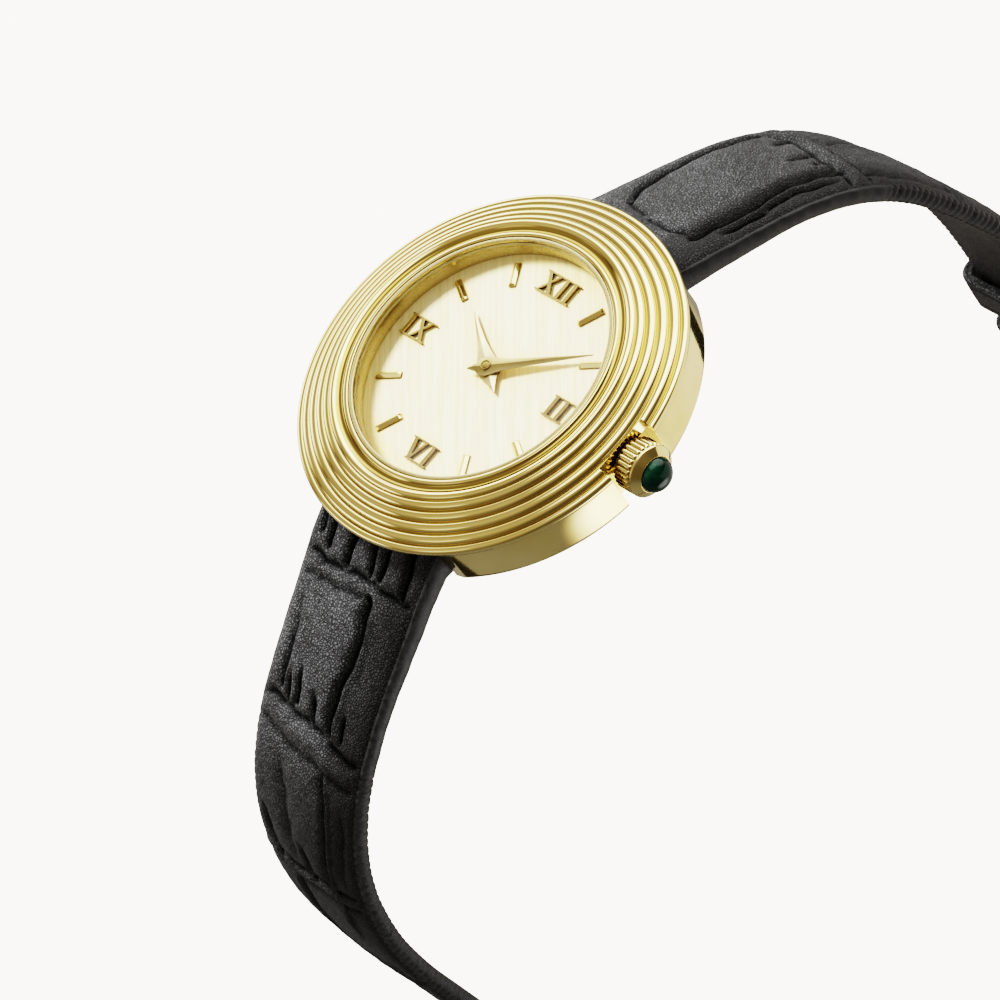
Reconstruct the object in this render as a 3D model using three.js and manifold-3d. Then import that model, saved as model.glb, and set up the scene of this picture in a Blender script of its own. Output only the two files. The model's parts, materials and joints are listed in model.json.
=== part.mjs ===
// A small dress wristwatch: stepped round case with a fluted crown, brushed dial with Roman
// quarters, quartz movement with its gear train, and a two-piece padded strap with a pin buckle.
// Millimetres, +Z up. The origin is the centre of the case back's flat outer face, the dial looks
// along +Z, 12 o'clock is +Y and the crown is on +X. The strap is open, its halves hanging free.
import * as THREE from "three";
import { mergeVertices } from "three/addons/utils/BufferGeometryUtils.js";
import Module from "manifold-3d";

const wasm = await Module();
wasm.setup();

// ---- driving dimensions: every z below is measured from the dial top ----
const DIAL_HEIGHT = 4.7; // dial top above the outer face of the case back
const CASE_FACETS = 40; // facets round the case parts
const BEZEL_R = 16.2;
const CASE_R = 15.95; // outer radius of the case band
const CASE_BOTTOM = -4.0;
const BACK_R = 11.2; // case back flange
const BORE_R = 10.3; // movement cavity
const DIAL_R = 10.85;
const CRYSTAL_R = 10.54;
const CROWN_R = 2.0;
const STEM_AXIS = [0, -1.7]; // y, z
const CROWN_NOTCH_HALF = 2.45; // half width of the notch for the crown
const RECESS_HALF = 6.95; // half width of the strap recess
const BAR_Y = 13.0; // spring bar axis
const BAR_Z = -2.6;
const BAR_R = 0.75;
const STRAP_HALF_LUG = 6.75; // half width of the strap at the case
const STRAP_HALF_MID = 6.35;
const STRAP_HALF_END = 5.0;
const BUCKLE_Y = 41.5; // axis of the buckle bar
const BUCKLE_Z = -59.2;
const HOUR_HAND_DEGREES = 304.7; // clockwise from 12
const MINUTE_HAND_DEGREES = 56.5;

// ---- materials ----
const FINISHES = {
  gold: { color: 0xd8c07a, roughness: 0.12, metalness: 1 },
  steel: { color: 0xb9bcc0, roughness: 0.3, metalness: 1 },
  brass: { color: 0xb8974a, roughness: 0.3, metalness: 1 },
  plastic: { color: 0x2a2c30, roughness: 0.6, metalness: 0 },
  white: { color: 0xe8e8e4, roughness: 0.6, metalness: 0 },
  glass: { color: 0xdfeaf0, roughness: 0.05, metalness: 0 },
  ivory: { color: 0xe4d6b4, roughness: 0.35, metalness: 0.3 },
  rubber: { color: 0x1a1a1a, roughness: 0.8, metalness: 0 },
  leather: { color: 0x2b2b2c, roughness: 0.55, metalness: 0 },
  stone: { color: 0x14251c, roughness: 0.1, metalness: 0 },
  board: { color: 0x1f5a34, roughness: 0.5, metalness: 0 },
  copper: { color: 0xb06a3a, roughness: 0.35, metalness: 0.9 },
};

const root = new THREE.Group();
const watch = new THREE.Group(); // carries the parts, with its origin at the dial top
watch.position.z = DIAL_HEIGHT;
root.add(watch);

// ---- solids and meshes ----
// Manifold solid of a closed geometry, turned to face outward.
function solid(geometry) {
  const loose = geometry.index ? geometry.toNonIndexed() : geometry.clone();
  loose.deleteAttribute("normal");
  loose.deleteAttribute("uv");
  loose.clearGroups();
  const merged = mergeVertices(loose, 1e-4);
  const positions = merged.attributes.position.array;
  const index = merged.index.array;
  const point = (i) => new THREE.Vector3().fromArray(positions, i * 3);
  const kept = []; // triangles that merging has not collapsed
  let volume = 0;
  for (let i = 0; i < index.length; i += 3) {
    const [a, b, c] = index.slice(i, i + 3);
    if (a === b || b === c || a === c) continue;
    kept.push(a, b, c);
    volume += point(a).dot(point(b).cross(point(c)));
  }
  const triVerts = new Uint32Array(kept);
  if (volume < 0) {
    for (let i = 0; i < triVerts.length; i += 3) {
      [triVerts[i + 1], triVerts[i + 2]] = [triVerts[i + 2], triVerts[i + 1]];
    }
  }
  const vertProperties = new Float32Array(positions);
  return new wasm.Manifold(new wasm.Mesh({ numProp: 3, vertProperties, triVerts }));
}

// Buffer geometry of a manifold solid, which carries positions only.
function geometryOf(manifold) {
  const mesh = manifold.getMesh();
  const geometry = new THREE.BufferGeometry();
  const positions = new Float32Array(mesh.vertProperties);
  geometry.setAttribute("position", new THREE.BufferAttribute(positions, 3));
  geometry.setIndex(new THREE.BufferAttribute(new Uint32Array(mesh.triVerts), 1));
  return geometry;
}

// Adds one named mesh with its own material.
function addPart(name, finish, manifold) {
  const material = new THREE.MeshStandardMaterial({ ...FINISHES[finish], side: THREE.DoubleSide });
  const mesh = new THREE.Mesh(geometryOf(manifold), material);
  mesh.name = name;
  watch.add(mesh);
}

const join = (solids) => solids.reduce((a, b) => a.add(b));
const cut = (from, ...tools) => tools.reduce((a, b) => a.subtract(b), from);

function moved(manifold, [x, y, z], turnZ = 0) {
  const geometry = geometryOf(manifold);
  geometry.rotateZ(turnZ);
  geometry.translate(x, y, z);
  return solid(geometry);
}

// Closed solid from a list of triangles, each of three [x, y, z] points.
function faceted(triangles) {
  const geometry = new THREE.BufferGeometry();
  geometry.setAttribute("position", new THREE.Float32BufferAttribute(triangles.flat(2), 3));
  return solid(geometry);
}

// Surface of revolution about Y from [radius, height] points; a profile off the axis is closed.
function revolved(profile, segments) {
  const offAxis = profile[0][0] > 0 || profile[profile.length - 1][0] > 0;
  const points = offAxis ? [...profile, profile[0]] : profile;
  return new THREE.LatheGeometry(points.map((p) => new THREE.Vector2(...p)), segments);
}

// Turned about Z from [radius, z] points.
function turned(profile) {
  return solid(revolved(profile, CASE_FACETS).rotateX(Math.PI / 2));
}

// Turned about the stem axis from [radius, x] points.
function turnedOnStem(profile, segments) {
  const geometry = revolved(profile, segments).rotateZ(-Math.PI / 2);
  return solid(geometry.translate(0, ...STEM_AXIS));
}

function disc(radius, z0, z1, segments, [x, y] = [0, 0]) {
  const geometry = new THREE.CylinderGeometry(radius, radius, z1 - z0, segments);
  geometry.rotateX(Math.PI / 2);
  return solid(geometry.translate(x, y, (z0 + z1) / 2));
}

// Rod along X on an axis through [y, z].
function rod(radius, x0, x1, [y, z], segments) {
  const geometry = new THREE.CylinderGeometry(radius, radius, x1 - x0, segments);
  geometry.rotateZ(Math.PI / 2);
  return solid(geometry.translate((x0 + x1) / 2, y, z));
}

// Rod along X, centred on the YZ plane.
const crossRod = (radius, half, axis, segments) => rod(radius, -half, half, axis, segments);

function box(x0, x1, y0, y1, z0, z1) {
  const geometry = new THREE.BoxGeometry(x1 - x0, y1 - y0, z1 - z0);
  return solid(geometry.translate((x0 + x1) / 2, (y0 + y1) / 2, (z0 + z1) / 2));
}

// Plate from an [x, y] outline, between two heights.
function plate(outline, z0, z1, holes = []) {
  const vectors = (points) => points.map((p) => new THREE.Vector2(...p));
  const shape = new THREE.Shape(vectors(outline));
  shape.holes = holes.map((hole) => new THREE.Path(vectors(hole)));
  const options = { depth: z1 - z0, bevelEnabled: false, steps: 1 };
  return solid(new THREE.ExtrudeGeometry(shape, options).translate(0, 0, z0));
}

const polar = (radius, angle) => [radius * Math.cos(angle), radius * Math.sin(angle)];

function circle(radius, count, [x, y] = [0, 0]) {
  return Array.from({ length: count }, (_, i) => {
    const [dx, dy] = polar(radius, (2 * Math.PI * i) / count);
    return [x + dx, y + dy];
  });
}

// ---- case ----
const SIDES = [1, -1];
const mirrored = (side, near, far) => (side > 0 ? [near, far] : [-far, -near]);
const barAxis = (side) => [side * BAR_Y, BAR_Z];

// Recess for one strap end, with a shallow scoop on each side of it.
function strapRecess(side) {
  const scoopY = mirrored(side, 13.75, 20);
  return [
    box(-RECESS_HALF, RECESS_HALF, ...mirrored(side, 12.62, 20), -6, 0.5),
    box(-RECESS_HALF, RECESS_HALF, ...mirrored(side, 11.4, 13), -6, -0.8),
    ...SIDES.map((end) => box(...mirrored(end, RECESS_HALF - 0.5, 9.3), ...scoopY, -6, 0.5)),
  ];
}

// [radius, z]
const CASE_PROFILE = [
  [10.95, 0.85], [10.95, -0.45], [BORE_R, -0.45], [BORE_R, -3.5], [BORE_R, CASE_BOTTOM],
  [10.55, CASE_BOTTOM], [10.55, -3.72], [11.0, -3.72], [11.0, CASE_BOTTOM],
  [15.3, CASE_BOTTOM], [CASE_R, -3.55], [CASE_R, -0.53], [12.55, -0.53], [12.55, 0.85],
];

function caseMiddle() {
  return cut(
    turned(CASE_PROFILE),
    ...SIDES.flatMap(strapRecess),
    box(14.1, 20, -CROWN_NOTCH_HALF, CROWN_NOTCH_HALF, -6, 0.5),
    ...SIDES.map((side) => crossRod(0.5, 7.75, barAxis(side), 16)),
    rod(0.8, 9, 16, STEM_AXIS, 20),
  );
}
addPart("case_middle", "gold", caseMiddle());

// Feet of the seven ridges that step down to the rim: [radius, z]
const RIDGE_FEET = [
  [11.62, 2.12], [12.13, 1.92], [12.66, 1.7], [13.32, 1.29],
  [14.06, 0.92], [14.85, 0.52], [15.63, 0.12], [BEZEL_R, -0.03],
];
const RIDGE_RISE = 0.27; // height of a ridge over its width

function bezel() {
  const ridges = RIDGE_FEET.slice(0, -1).flatMap(([r0, z0], i) => {
    const [r1, z1] = RIDGE_FEET[i + 1];
    const crest = [
      (r0 + r1) / 2 + (z0 - z1) * RIDGE_RISE,
      (z0 + z1) / 2 + (r1 - r0) * RIDGE_RISE,
    ];
    return [[r0, z0], crest];
  });
  const body = turned([
    [10.98, 0.9], [10.98, 1.94], [11.08, 1.98], [11.5, 2.2],
    ...ridges,
    [BEZEL_R, -0.03], [BEZEL_R, -0.42], [16.05, -0.5], [12.6, -0.5], [12.6, 0.9],
  ]);
  return cut(body, box(15.0, 20, -CROWN_NOTCH_HALF, CROWN_NOTCH_HALF, -3, 3));
}
addPart("bezel", "gold", bezel());

const REHAUT_PROFILE = [
  [10.6, 0.03], [10.6, 1.33], [10.78, 1.33], [10.78, 1.67],
  [10.6, 1.67], [10.6, 1.94], [10.93, 1.94], [10.93, 0.03],
];
addPart("rehaut_ring", "gold", turned(REHAUT_PROFILE));

const CRYSTAL_PROFILE = [
  [0, 1.15], [CRYSTAL_R, 1.15], [CRYSTAL_R, 1.92], [CRYSTAL_R - 0.1, 2.0], [0, 2.0],
];
addPart("crystal", "glass", turned(CRYSTAL_PROFILE));

// Square-section ring about Z.
const ring = (inner, outer, z0, z1) => turned([[inner, z0], [outer, z0], [outer, z1], [inner, z1]]);
addPart("crystal_gasket", "white", ring(10.57, 10.75, 1.36, 1.64));

// Snap-on disc with a plug rim and a pry notch.
const BACK_PROFILE = [
  [0, -DIAL_HEIGHT], [10.8, -DIAL_HEIGHT], [BACK_R, -4.4], [BACK_R, -4.03], [10.27, -4.03],
  [10.27, -3.56], [9.5, -3.56], [9.5, -3.95], [0, -3.95],
];
const pryNotch = box(-1.3, 1.3, -12, -10.9, -4.25, CASE_BOTTOM);
addPart("case_back", "steel", cut(turned(BACK_PROFILE), pryNotch));
addPart("case_back_gasket", "rubber", ring(10.58, 10.97, -3.99, -3.76));

// ---- dial ----
addPart("dial", "ivory", plate(circle(DIAL_R, CASE_FACETS), -0.4, 0, [circle(0.9, 20)]));

const MARKER_CENTRE_R = 8.69;
const NUMERAL_CENTRE_R = 8.27;
const APPLIED_Z = 0.02; // underside of the markers and numerals
const hourAngle = (hour) => Math.PI / 2 - (hour * Math.PI) / 6;

// Roof-shaped stick: length along X, width along Y.
function baton() {
  const halfLength = 1.1;
  const halfWidth = 0.28;
  const halfRidge = 0.95;
  const rectangle = (z) => [
    [-halfLength, -halfWidth, z], [halfLength, -halfWidth, z],
    [halfLength, halfWidth, z], [-halfLength, halfWidth, z],
  ];
  const corners = [
    ...rectangle(APPLIED_Z),
    ...rectangle(0.16),
    [-halfRidge, 0, 0.36], [halfRidge, 0, 0.36],
  ];
  const faces = [
    [0, 2, 1], [0, 3, 2], [0, 1, 5], [0, 5, 4], [1, 2, 6], [1, 6, 5], [2, 3, 7], [2, 7, 6],
    [3, 0, 4], [3, 4, 7], [4, 5, 9], [4, 9, 8], [6, 7, 8], [6, 8, 9], [5, 6, 9], [7, 4, 8],
  ];
  return faceted(faces.map((face) => face.map((i) => corners[i])));
}
for (const hour of [1, 2, 4, 5, 7, 8, 10, 11]) {
  const angle = hourAngle(hour);
  const place = [...polar(MARKER_CENTRE_R, angle), 0];
  addPart(`hour_marker_${hour}`, "gold", moved(baton(), place, angle));
}

// Applied Roman numerals, all upright, each one piece joined by its serifs.
const NUMERAL_HALF = 0.95; // half height
const THICK_STROKE = 0.3;
const THIN_STROKE = 0.17;
const SERIF = 0.13;

// Full-height stroke between an x at the foot and an x at the head, width square to the stroke.
function stroke(footX, headX, width) {
  const height = 2 * NUMERAL_HALF;
  const half = (width / 2) * (Math.hypot(headX - footX, height) / height);
  const outline = [
    [footX - half, -NUMERAL_HALF], [footX + half, -NUMERAL_HALF],
    [headX + half, NUMERAL_HALF], [headX - half, NUMERAL_HALF],
  ];
  return plate(outline, APPLIED_Z, 0.3);
}
function serif(x0, x1, y0, y1) {
  return plate([[x0, y0], [x1, y0], [x1, y1], [x0, y1]], APPLIED_Z, 0.28);
}
const headSerif = (x0, x1) => serif(x0, x1, NUMERAL_HALF - SERIF, NUMERAL_HALF);
const footSerif = (x0, x1) => serif(x0, x1, -NUMERAL_HALF, -NUMERAL_HALF + SERIF);
const letterI = (x) => stroke(x, x, THICK_STROKE);
const letterV = (x, width) => [
  stroke(x, x - width / 2, THICK_STROKE),
  stroke(x, x + width / 2, THIN_STROKE),
];
const letterX = (x, width) => [
  stroke(x + width / 2, x - width / 2, THICK_STROKE),
  stroke(x - width / 2, x + width / 2, THIN_STROKE),
];
const NUMERALS = [
  ["xii", 12, [
    ...letterX(-0.95, 1.25), letterI(0.45), letterI(1.35),
    headSerif(-1.85, 1.75), footSerif(-1.85, 1.75),
  ]],
  ["iii", 3, [
    letterI(-1.1), letterI(0), letterI(1.1),
    headSerif(-1.45, 1.45), footSerif(-1.45, 1.45),
  ]],
  ["vi", 6, [
    ...letterV(-0.4, 1.2), letterI(1.05),
    headSerif(-1.35, 1.4), footSerif(-0.75, 1.4),
  ]],
  ["ix", 9, [
    letterI(-1.0), ...letterX(0.4, 1.2),
    headSerif(-1.35, 1.35), footSerif(-1.35, 1.35),
  ]],
];
for (const [name, hour, strokes] of NUMERALS) {
  const place = [...polar(NUMERAL_CENTRE_R, hourAngle(hour)), 0];
  addPart(`numeral_${name}`, "gold", moved(join(strokes), place));
}

// ---- hands ----
// Tapered hand turned clockwise from 12, with a roof ridge down its middle and a round boss.
// Its flat part runs from bottom to shoulder, its ridge is at top.
function hand({ degrees, length, tail, half, bottom, shoulder, top, boreR, bossR }) {
  // [y, half width]
  const stations = [
    [-tail, 0.06], [-tail * 0.55, half * 0.42], [-0.62, half * 0.82],
    [0, half], [0.7, half * 0.8], [1.6, half * 0.55],
    [length * 0.45, half * 0.34], [length * 0.75, half * 0.18], [length, 0.05],
  ];
  const rightEdge = stations.map(([y, x]) => [x, y]);
  const leftEdge = stations.map(([y, x]) => [-x, y]);
  const base = plate([...rightEdge, ...leftEdge.reverse()], bottom, shoulder);

  const last = stations.length - 1;
  const eaveZ = shoulder - 0.01; // sunk so that the roof overlaps the base
  const right = stations.map(([y, x]) => [x, y, eaveZ]);
  const left = stations.map(([y, x]) => [-x, y, eaveZ]);
  const ridge = stations.map(([y]) => [0, y, top]);
  ridge[0][1] += 0.05;
  ridge[last][1] -= 0.05;
  const roof = [];
  for (let i = 0; i < last; i++) {
    const j = i + 1;
    roof.push(
      [right[i], right[j], ridge[j]], [right[i], ridge[j], ridge[i]],
      [left[j], left[i], ridge[i]], [left[j], ridge[i], ridge[j]],
      [right[j], right[i], left[i]], [right[j], left[i], left[j]],
    );
  }
  roof.push([right[0], ridge[0], left[0]], [right[last], left[last], ridge[last]]);

  const body = join([base, faceted(roof), disc(bossR, bottom, top, 24)]);
  const bored = cut(body, disc(boreR, bottom - 1, top + 1, 24));
  return moved(bored, [0, 0, 0], (-degrees * Math.PI) / 180);
}
const HOUR_HAND = {
  degrees: HOUR_HAND_DEGREES, length: 5.85, tail: 2.5, half: 0.9,
  bottom: 0.34, shoulder: 0.42, top: 0.52, boreR: 0.765, bossR: 1.0,
};
const MINUTE_HAND = {
  degrees: MINUTE_HAND_DEGREES, length: 8.9, tail: 1.65, half: 0.82,
  bottom: 0.6, shoulder: 0.66, top: 0.78, boreR: 0.43, bossR: 0.62,
};
addPart("hour_hand", "gold", hand(HOUR_HAND));
addPart("minute_hand", "gold", hand(MINUTE_HAND));

// ---- movement: wheel places are [x, y] ----
const CENTRE = [0, 0];
const THIRD = [-1.575, 2.728];
const INTERMEDIATE = [-3.83, 1.907];
const ROTOR = [-4.487, 0.103];
const MINUTE = [1.638, 1.147];
const BATTERY = [2.0, -4.6];
const LEVER_POST = [6.57, 2.2];
const BRIDGE_POSTS = [[2.8, 4.5], [-6.1, 3.4]];
const PLATE_BOTTOM = -1.32;
const TRAIN_TOP = -1.36; // just under the main plate
const ARBOR_BOTTOM = -3.05;
const STEM_CHANNEL_HALF = 0.62;

// Wheel with simple pointed teeth.
function gear(teeth, module, [x, y], z0, z1) {
  const pitchR = (teeth * module) / 2;
  const outline = [];
  for (let i = 0; i < teeth; i++) {
    const angle = (2 * Math.PI * i) / teeth;
    const [tipX, tipY] = polar(pitchR + 0.4 * module, angle);
    const [rootX, rootY] = polar(pitchR - 0.9 * module, angle + Math.PI / teeth);
    outline.push([x + tipX, y + tipY], [x + rootX, y + rootY]);
  }
  return plate(outline, z0, z1);
}
const arbor = (radius, place) => disc(radius, ARBOR_BOTTOM, TRAIN_TOP, 12, place);

const cannonPinion = join([disc(0.42, -1.32, 0.74, 24), gear(10, 0.1, CENTRE, -0.93, -0.62)]);
addPart("cannon_pinion", "steel", cut(cannonPinion, disc(0.22, -2, 2, 16)));
addPart("center_wheel", "brass", join([
  disc(0.2, ARBOR_BOTTOM, 0.3, 16),
  gear(60, 0.09, CENTRE, -1.55, -1.38),
  disc(0.34, -1.72, -1.53, 16),
]));
const hourWheel = join([disc(0.75, -0.58, 0.5, 24), gear(40, 0.08, CENTRE, -0.58, -0.46)]);
addPart("hour_wheel", "brass", cut(hourWheel, disc(0.47, -2, 2, 24)));
addPart("minute_wheel", "brass", join([
  gear(30, 0.1, MINUTE, -0.9, -0.72),
  gear(10, 0.08, MINUTE, -0.74, -0.47),
  disc(0.15, -1.2, -0.74, 12, MINUTE),
]));
addPart("third_wheel", "brass", join([
  gear(10, 0.09, THIRD, -1.6, TRAIN_TOP),
  gear(50, 0.08, THIRD, -2.2, -2.05),
  arbor(0.15, THIRD),
]));
addPart("intermediate_wheel", "brass", join([
  gear(10, 0.08, INTERMEDIATE, -2.22, -1.95),
  gear(36, 0.08, INTERMEDIATE, -2.55, -2.42),
  arbor(0.12, INTERMEDIATE),
]));
addPart("rotor", "steel", join([
  gear(12, 0.06, ROTOR, -2.57, -2.33),
  disc(0.85, -2.2, -1.75, 24, ROTOR),
  arbor(0.12, ROTOR),
]));

// Pocketed for the motion work on the dial side, channelled underneath for the stem.
addPart("main_plate", "brass", cut(
  disc(8.6, PLATE_BOTTOM, -0.44, 48),
  plate(circle(1.85, 32), -1.0, 0),
  plate(circle(1.85, 32, MINUTE), -1.0, 0),
  disc(0.46, -2, 0, 24),
  disc(0.18, -2, 0, 12, MINUTE),
  box(4.3, 10, -STEM_CHANNEL_HALF, STEM_CHANNEL_HALF, -2, -1.0),
));

const BRIDGE_OUTLINE = [
  [-6.6, 3.9], [-6.6, -1.3], [0.9, -1.3], [3.3, 1.4], [3.3, 5.0], [-4.4, 5.0],
];
addPart("train_bridge", "brass", cut(
  join([
    plate(BRIDGE_OUTLINE, -3.1, -2.88),
    ...BRIDGE_POSTS.map((place) => disc(0.45, -2.9, TRAIN_TOP, 16, place)),
  ]),
  disc(0.24, -4, -2, 16),
  disc(0.19, -4, -2, 12, THIRD),
  disc(0.16, -4, -2, 12, INTERMEDIATE),
  disc(0.16, -4, -2, 12, ROTOR),
));

const BATTERY_PROFILE = [
  [0, -3.85], [3.2, -3.85], [3.4, -3.75], [3.4, -1.95], [3.1, -1.72], [0, -1.72],
];
addPart("battery", "steel", moved(turned(BATTERY_PROFILE), [...BATTERY, 0]));
addPart("battery_clamp", "steel", join([
  plate([[5.9, -4.9], [6.9, -4.3], [6.9, -2.3], [5.9, -2.3]], -1.62, TRAIN_TOP),
  box(5.95, 6.3, -4.2, -3.2, -2.9, -1.5),
]));

// Round winding with a square tab on each end, laid out along Y and then turned into place.
function coil() {
  const winding = solid(new THREE.CylinderGeometry(0.75, 0.75, 5.0, 20));
  const tabs = SIDES.map((side) => box(-0.5, 0.5, ...mirrored(side, 2.5, 3), -0.3, 0.3));
  return moved(join([winding, ...tabs]), [-5.05, -4.2, -2.3], 0.76);
}
addPart("coil", "copper", coil());

const STATOR_OUTLINE = [
  [-7.2, 1.4], [-7.6, -2.0], [-5.9, -2.0], [-3.2, -1.6], [-3.0, 1.1], [-4.4, 1.35],
];
const stator = cut(plate(STATOR_OUTLINE, -1.95, -1.8), disc(1.0, -3, -1, 24, ROTOR));
addPart("stator", "steel", stator);
const BOARD_OUTLINE = [[3.7, 1.2], [7.6, 1.2], [6.6, 4.6], [3.7, 6.6]];
addPart("circuit_board", "board", plate(BOARD_OUTLINE, -2.0, -1.75));
const quartzCan = moved(crossRod(0.5, 1.7, [0, 0], 16), [-1.9, 6.7, -1.95], 0.6);
addPart("quartz_can", "steel", quartzCan);
addPart("ic_chip", "plastic", box(4.3, 6.1, 2.2, 4.0, -2.5, -2.02));

// Lever on a post; its nose sits in the groove of the stem.
function settingLever() {
  const [x, y] = LEVER_POST;
  const outline = [
    [x + 0.3, y - 0.1], [x - 0.35, y - 0.1], [x - 0.62, 0.75],
    [x - 0.52, 0.29], [x - 0.28, 0.29], [x - 0.2, 0.75],
  ];
  return join([disc(0.42, -1.58, TRAIN_TOP, 16, LEVER_POST), plate(outline, -1.58, TRAIN_TOP)]);
}
addPart("setting_lever", "steel", settingLever());

BRIDGE_POSTS.forEach(([x, y], i) => {
  const slot = box(x - 1, x + 1, y - 0.08, y + 0.08, -4, -3.24);
  addPart(`bridge_screw_${i + 1}`, "steel", cut(disc(0.5, -3.36, -3.11, 16, [x, y]), slot));
});
addPart("movement_ring", "white", cut(
  turned([[8.65, -3.4], [8.65, -0.5], [10.24, -0.5], [10.24, -3.4]]),
  box(4, 12, -STEM_CHANNEL_HALF, STEM_CHANNEL_HALF, -2.35, -1.05),
));

// ---- crown and stem: profiles are [radius, x] ----
const stemGroove = cut(rod(0.6, 6.0, 6.35, STEM_AXIS, 16), rod(0.26, 5.5, 7, STEM_AXIS, 16));
addPart("stem", "steel", cut(rod(0.4, 4.6, 16.4, STEM_AXIS, 16), stemGroove));

const CLUTCH_PROFILE = [
  [0.44, 4.75], [0.58, 4.75], [0.58, 5.0], [0.48, 5.1],
  [0.48, 5.3], [0.58, 5.4], [0.58, 5.7], [0.44, 5.7],
];
addPart("clutch_wheel", "steel", turnedOnStem(CLUTCH_PROFILE, 16));

function sleeve(inner, outer, x0, x1) {
  return turnedOnStem([[inner, x0], [outer, x0], [outer, x1], [inner, x1]], 20);
}
addPart("crown_tube", "steel", sleeve(0.5, 0.77, 10.8, 15.55));
addPart("crown_gasket", "rubber", sleeve(0.79, 0.93, 14.4, 14.75));

const FLUTES = 28;
const FLUTE_ROOT_R = 1.84;
const CROWN_PROFILE = [
  [0.95, 14.2], [1.15, 14.2], [1.15, 15.05], [1.78, 15.05], [1.78, 16.85],
  [CROWN_R - 0.02, 16.95], [CROWN_R - 0.02, 17.1], [1.45, 17.6], [1.37, 17.6],
  [1.37, 17.3], [0.43, 17.3], [0.43, 15.95], [0.95, 15.95],
];

// Fluted barrel round the crown's core.
function crownBarrel() {
  const outline = [];
  for (let i = 0; i < FLUTES * 2; i++) {
    outline.push(polar(i % 2 ? FLUTE_ROOT_R : CROWN_R, (Math.PI * i) / FLUTES));
  }
  const geometry = geometryOf(plate(outline, 15.15, 16.75, [circle(1.5, 14)]));
  geometry.rotateY(Math.PI / 2);
  return solid(geometry.translate(0, ...STEM_AXIS));
}
addPart("crown", "gold", turnedOnStem(CROWN_PROFILE, FLUTES).add(crownBarrel()));

const STONE_PROFILE = [
  [0, 17.33], [1.32, 17.33], [1.32, 17.62], [1.27, 17.88],
  [1.1, 18.18], [0.8, 18.42], [0.42, 18.56], [0, 18.6],
];
addPart("crown_stone", "stone", turnedOnStem(STONE_PROFILE, 24));

// ---- strap ----
for (const [name, side] of [["spring_bar_12", 1], ["spring_bar_6", -1]]) {
  const axis = barAxis(side);
  addPart(name, "steel", join([crossRod(BAR_R, 6.7, axis, 20), crossRod(0.44, 7.6, axis, 16)]));
}

// Outer face of each half on its centre line, from the spring bar outward: [distance in Y, z]
const PATH_12 = [
  [13.0, -1.45], [14.6, -1.85], [16.4, -2.75], [18.22, -3.71], [19.98, -4.69], [21.72, -5.65],
  [23.47, -6.61], [25.2, -7.62], [26.89, -8.68], [28.53, -9.84], [30.09, -11.1],
  [31.54, -12.47], [32.87, -13.95], [34.07, -15.54], [35.16, -17.21], [36.13, -18.96],
  [37.82, -22.6], [39.32, -26.31], [40.7, -30.04], [41.5, -33.0], [42.0, -36.5],
  [42.2, -40.5], [42.2, -45.0], [42.2, -58.0],
];
const PATH_6 = [
  [13.0, -1.45], [14.0, -1.75], [15.4, -2.45], [17.23, -3.44], [18.91, -4.55], [20.58, -5.62],
  [22.26, -6.68], [23.94, -7.76], [25.6, -8.87], [27.22, -10.05], [28.78, -11.31],
  [30.24, -12.68], [31.58, -14.15], [32.77, -15.74], [33.8, -17.44], [34.66, -19.24],
  [35.35, -21.12], [35.86, -23.06], [36.3, -25.9], [36.5, -29.04], [36.32, -33.0],
  [35.9, -37.0], [35.1, -42.5], [34.4, -48.0], [34.2, -54.0], [35.1, -60.0], [37.4, -65.4],
  [41.2, -69.5], [46.2, -72.0], [52.0, -73.0], [58.0, -73.2], [62.0, -73.2], [64.2, -73.2],
  [65.9, -73.2],
];

// Strap stations: [arc length from the spring bar, value]
const END_THICKNESS = 1.5;
const HALF_WIDTH_NEAR_CASE = [
  [0, STRAP_HALF_LUG], [3, 6.7], [14, 6.4], [25, STRAP_HALF_MID], [35, 6.15], [45, 5.8],
];
const HALF_WIDTH_12 = [...HALF_WIDTH_NEAR_CASE, [56, 5.1], [66, STRAP_HALF_END]];
const HALF_WIDTH_6 = [
  ...HALF_WIDTH_NEAR_CASE, [62, STRAP_HALF_END], [98.9, STRAP_HALF_END],
  [102.9, 4.5], [105.1, 3.4], [106.8, 1.7],
];
const THICKNESS_NEAR_CASE = [[0, 2.3], [6, 2.1], [14, 1.6]];
const THICKNESS_12 = [...THICKNESS_NEAR_CASE, [70, END_THICKNESS]];
const THICKNESS_6 = [...THICKNESS_NEAR_CASE, [60, END_THICKNESS]];
const PADDING = [[0, 0.05], [3, 0.25], [12, 0.45], [40, 0.35], [62, 0.05]];

// Straight-line value between stations, held after the last one.
function valueAt(distance, stations) {
  const i = stations.findIndex(([end], n) => n > 0 && distance <= end);
  if (i < 0) return stations[stations.length - 1][1];
  const [start, from] = stations[i - 1];
  const [end, to] = stations[i];
  return from + ((to - from) * (distance - start)) / (end - start);
}

function arcLengths(path) {
  const lengths = [0];
  for (let i = 1; i < path.length; i++) {
    const [y0, z0] = path[i - 1];
    const [y1, z1] = path[i];
    lengths.push(lengths[i - 1] + Math.hypot(y1 - y0, z1 - z0));
  }
  return lengths;
}

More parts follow.
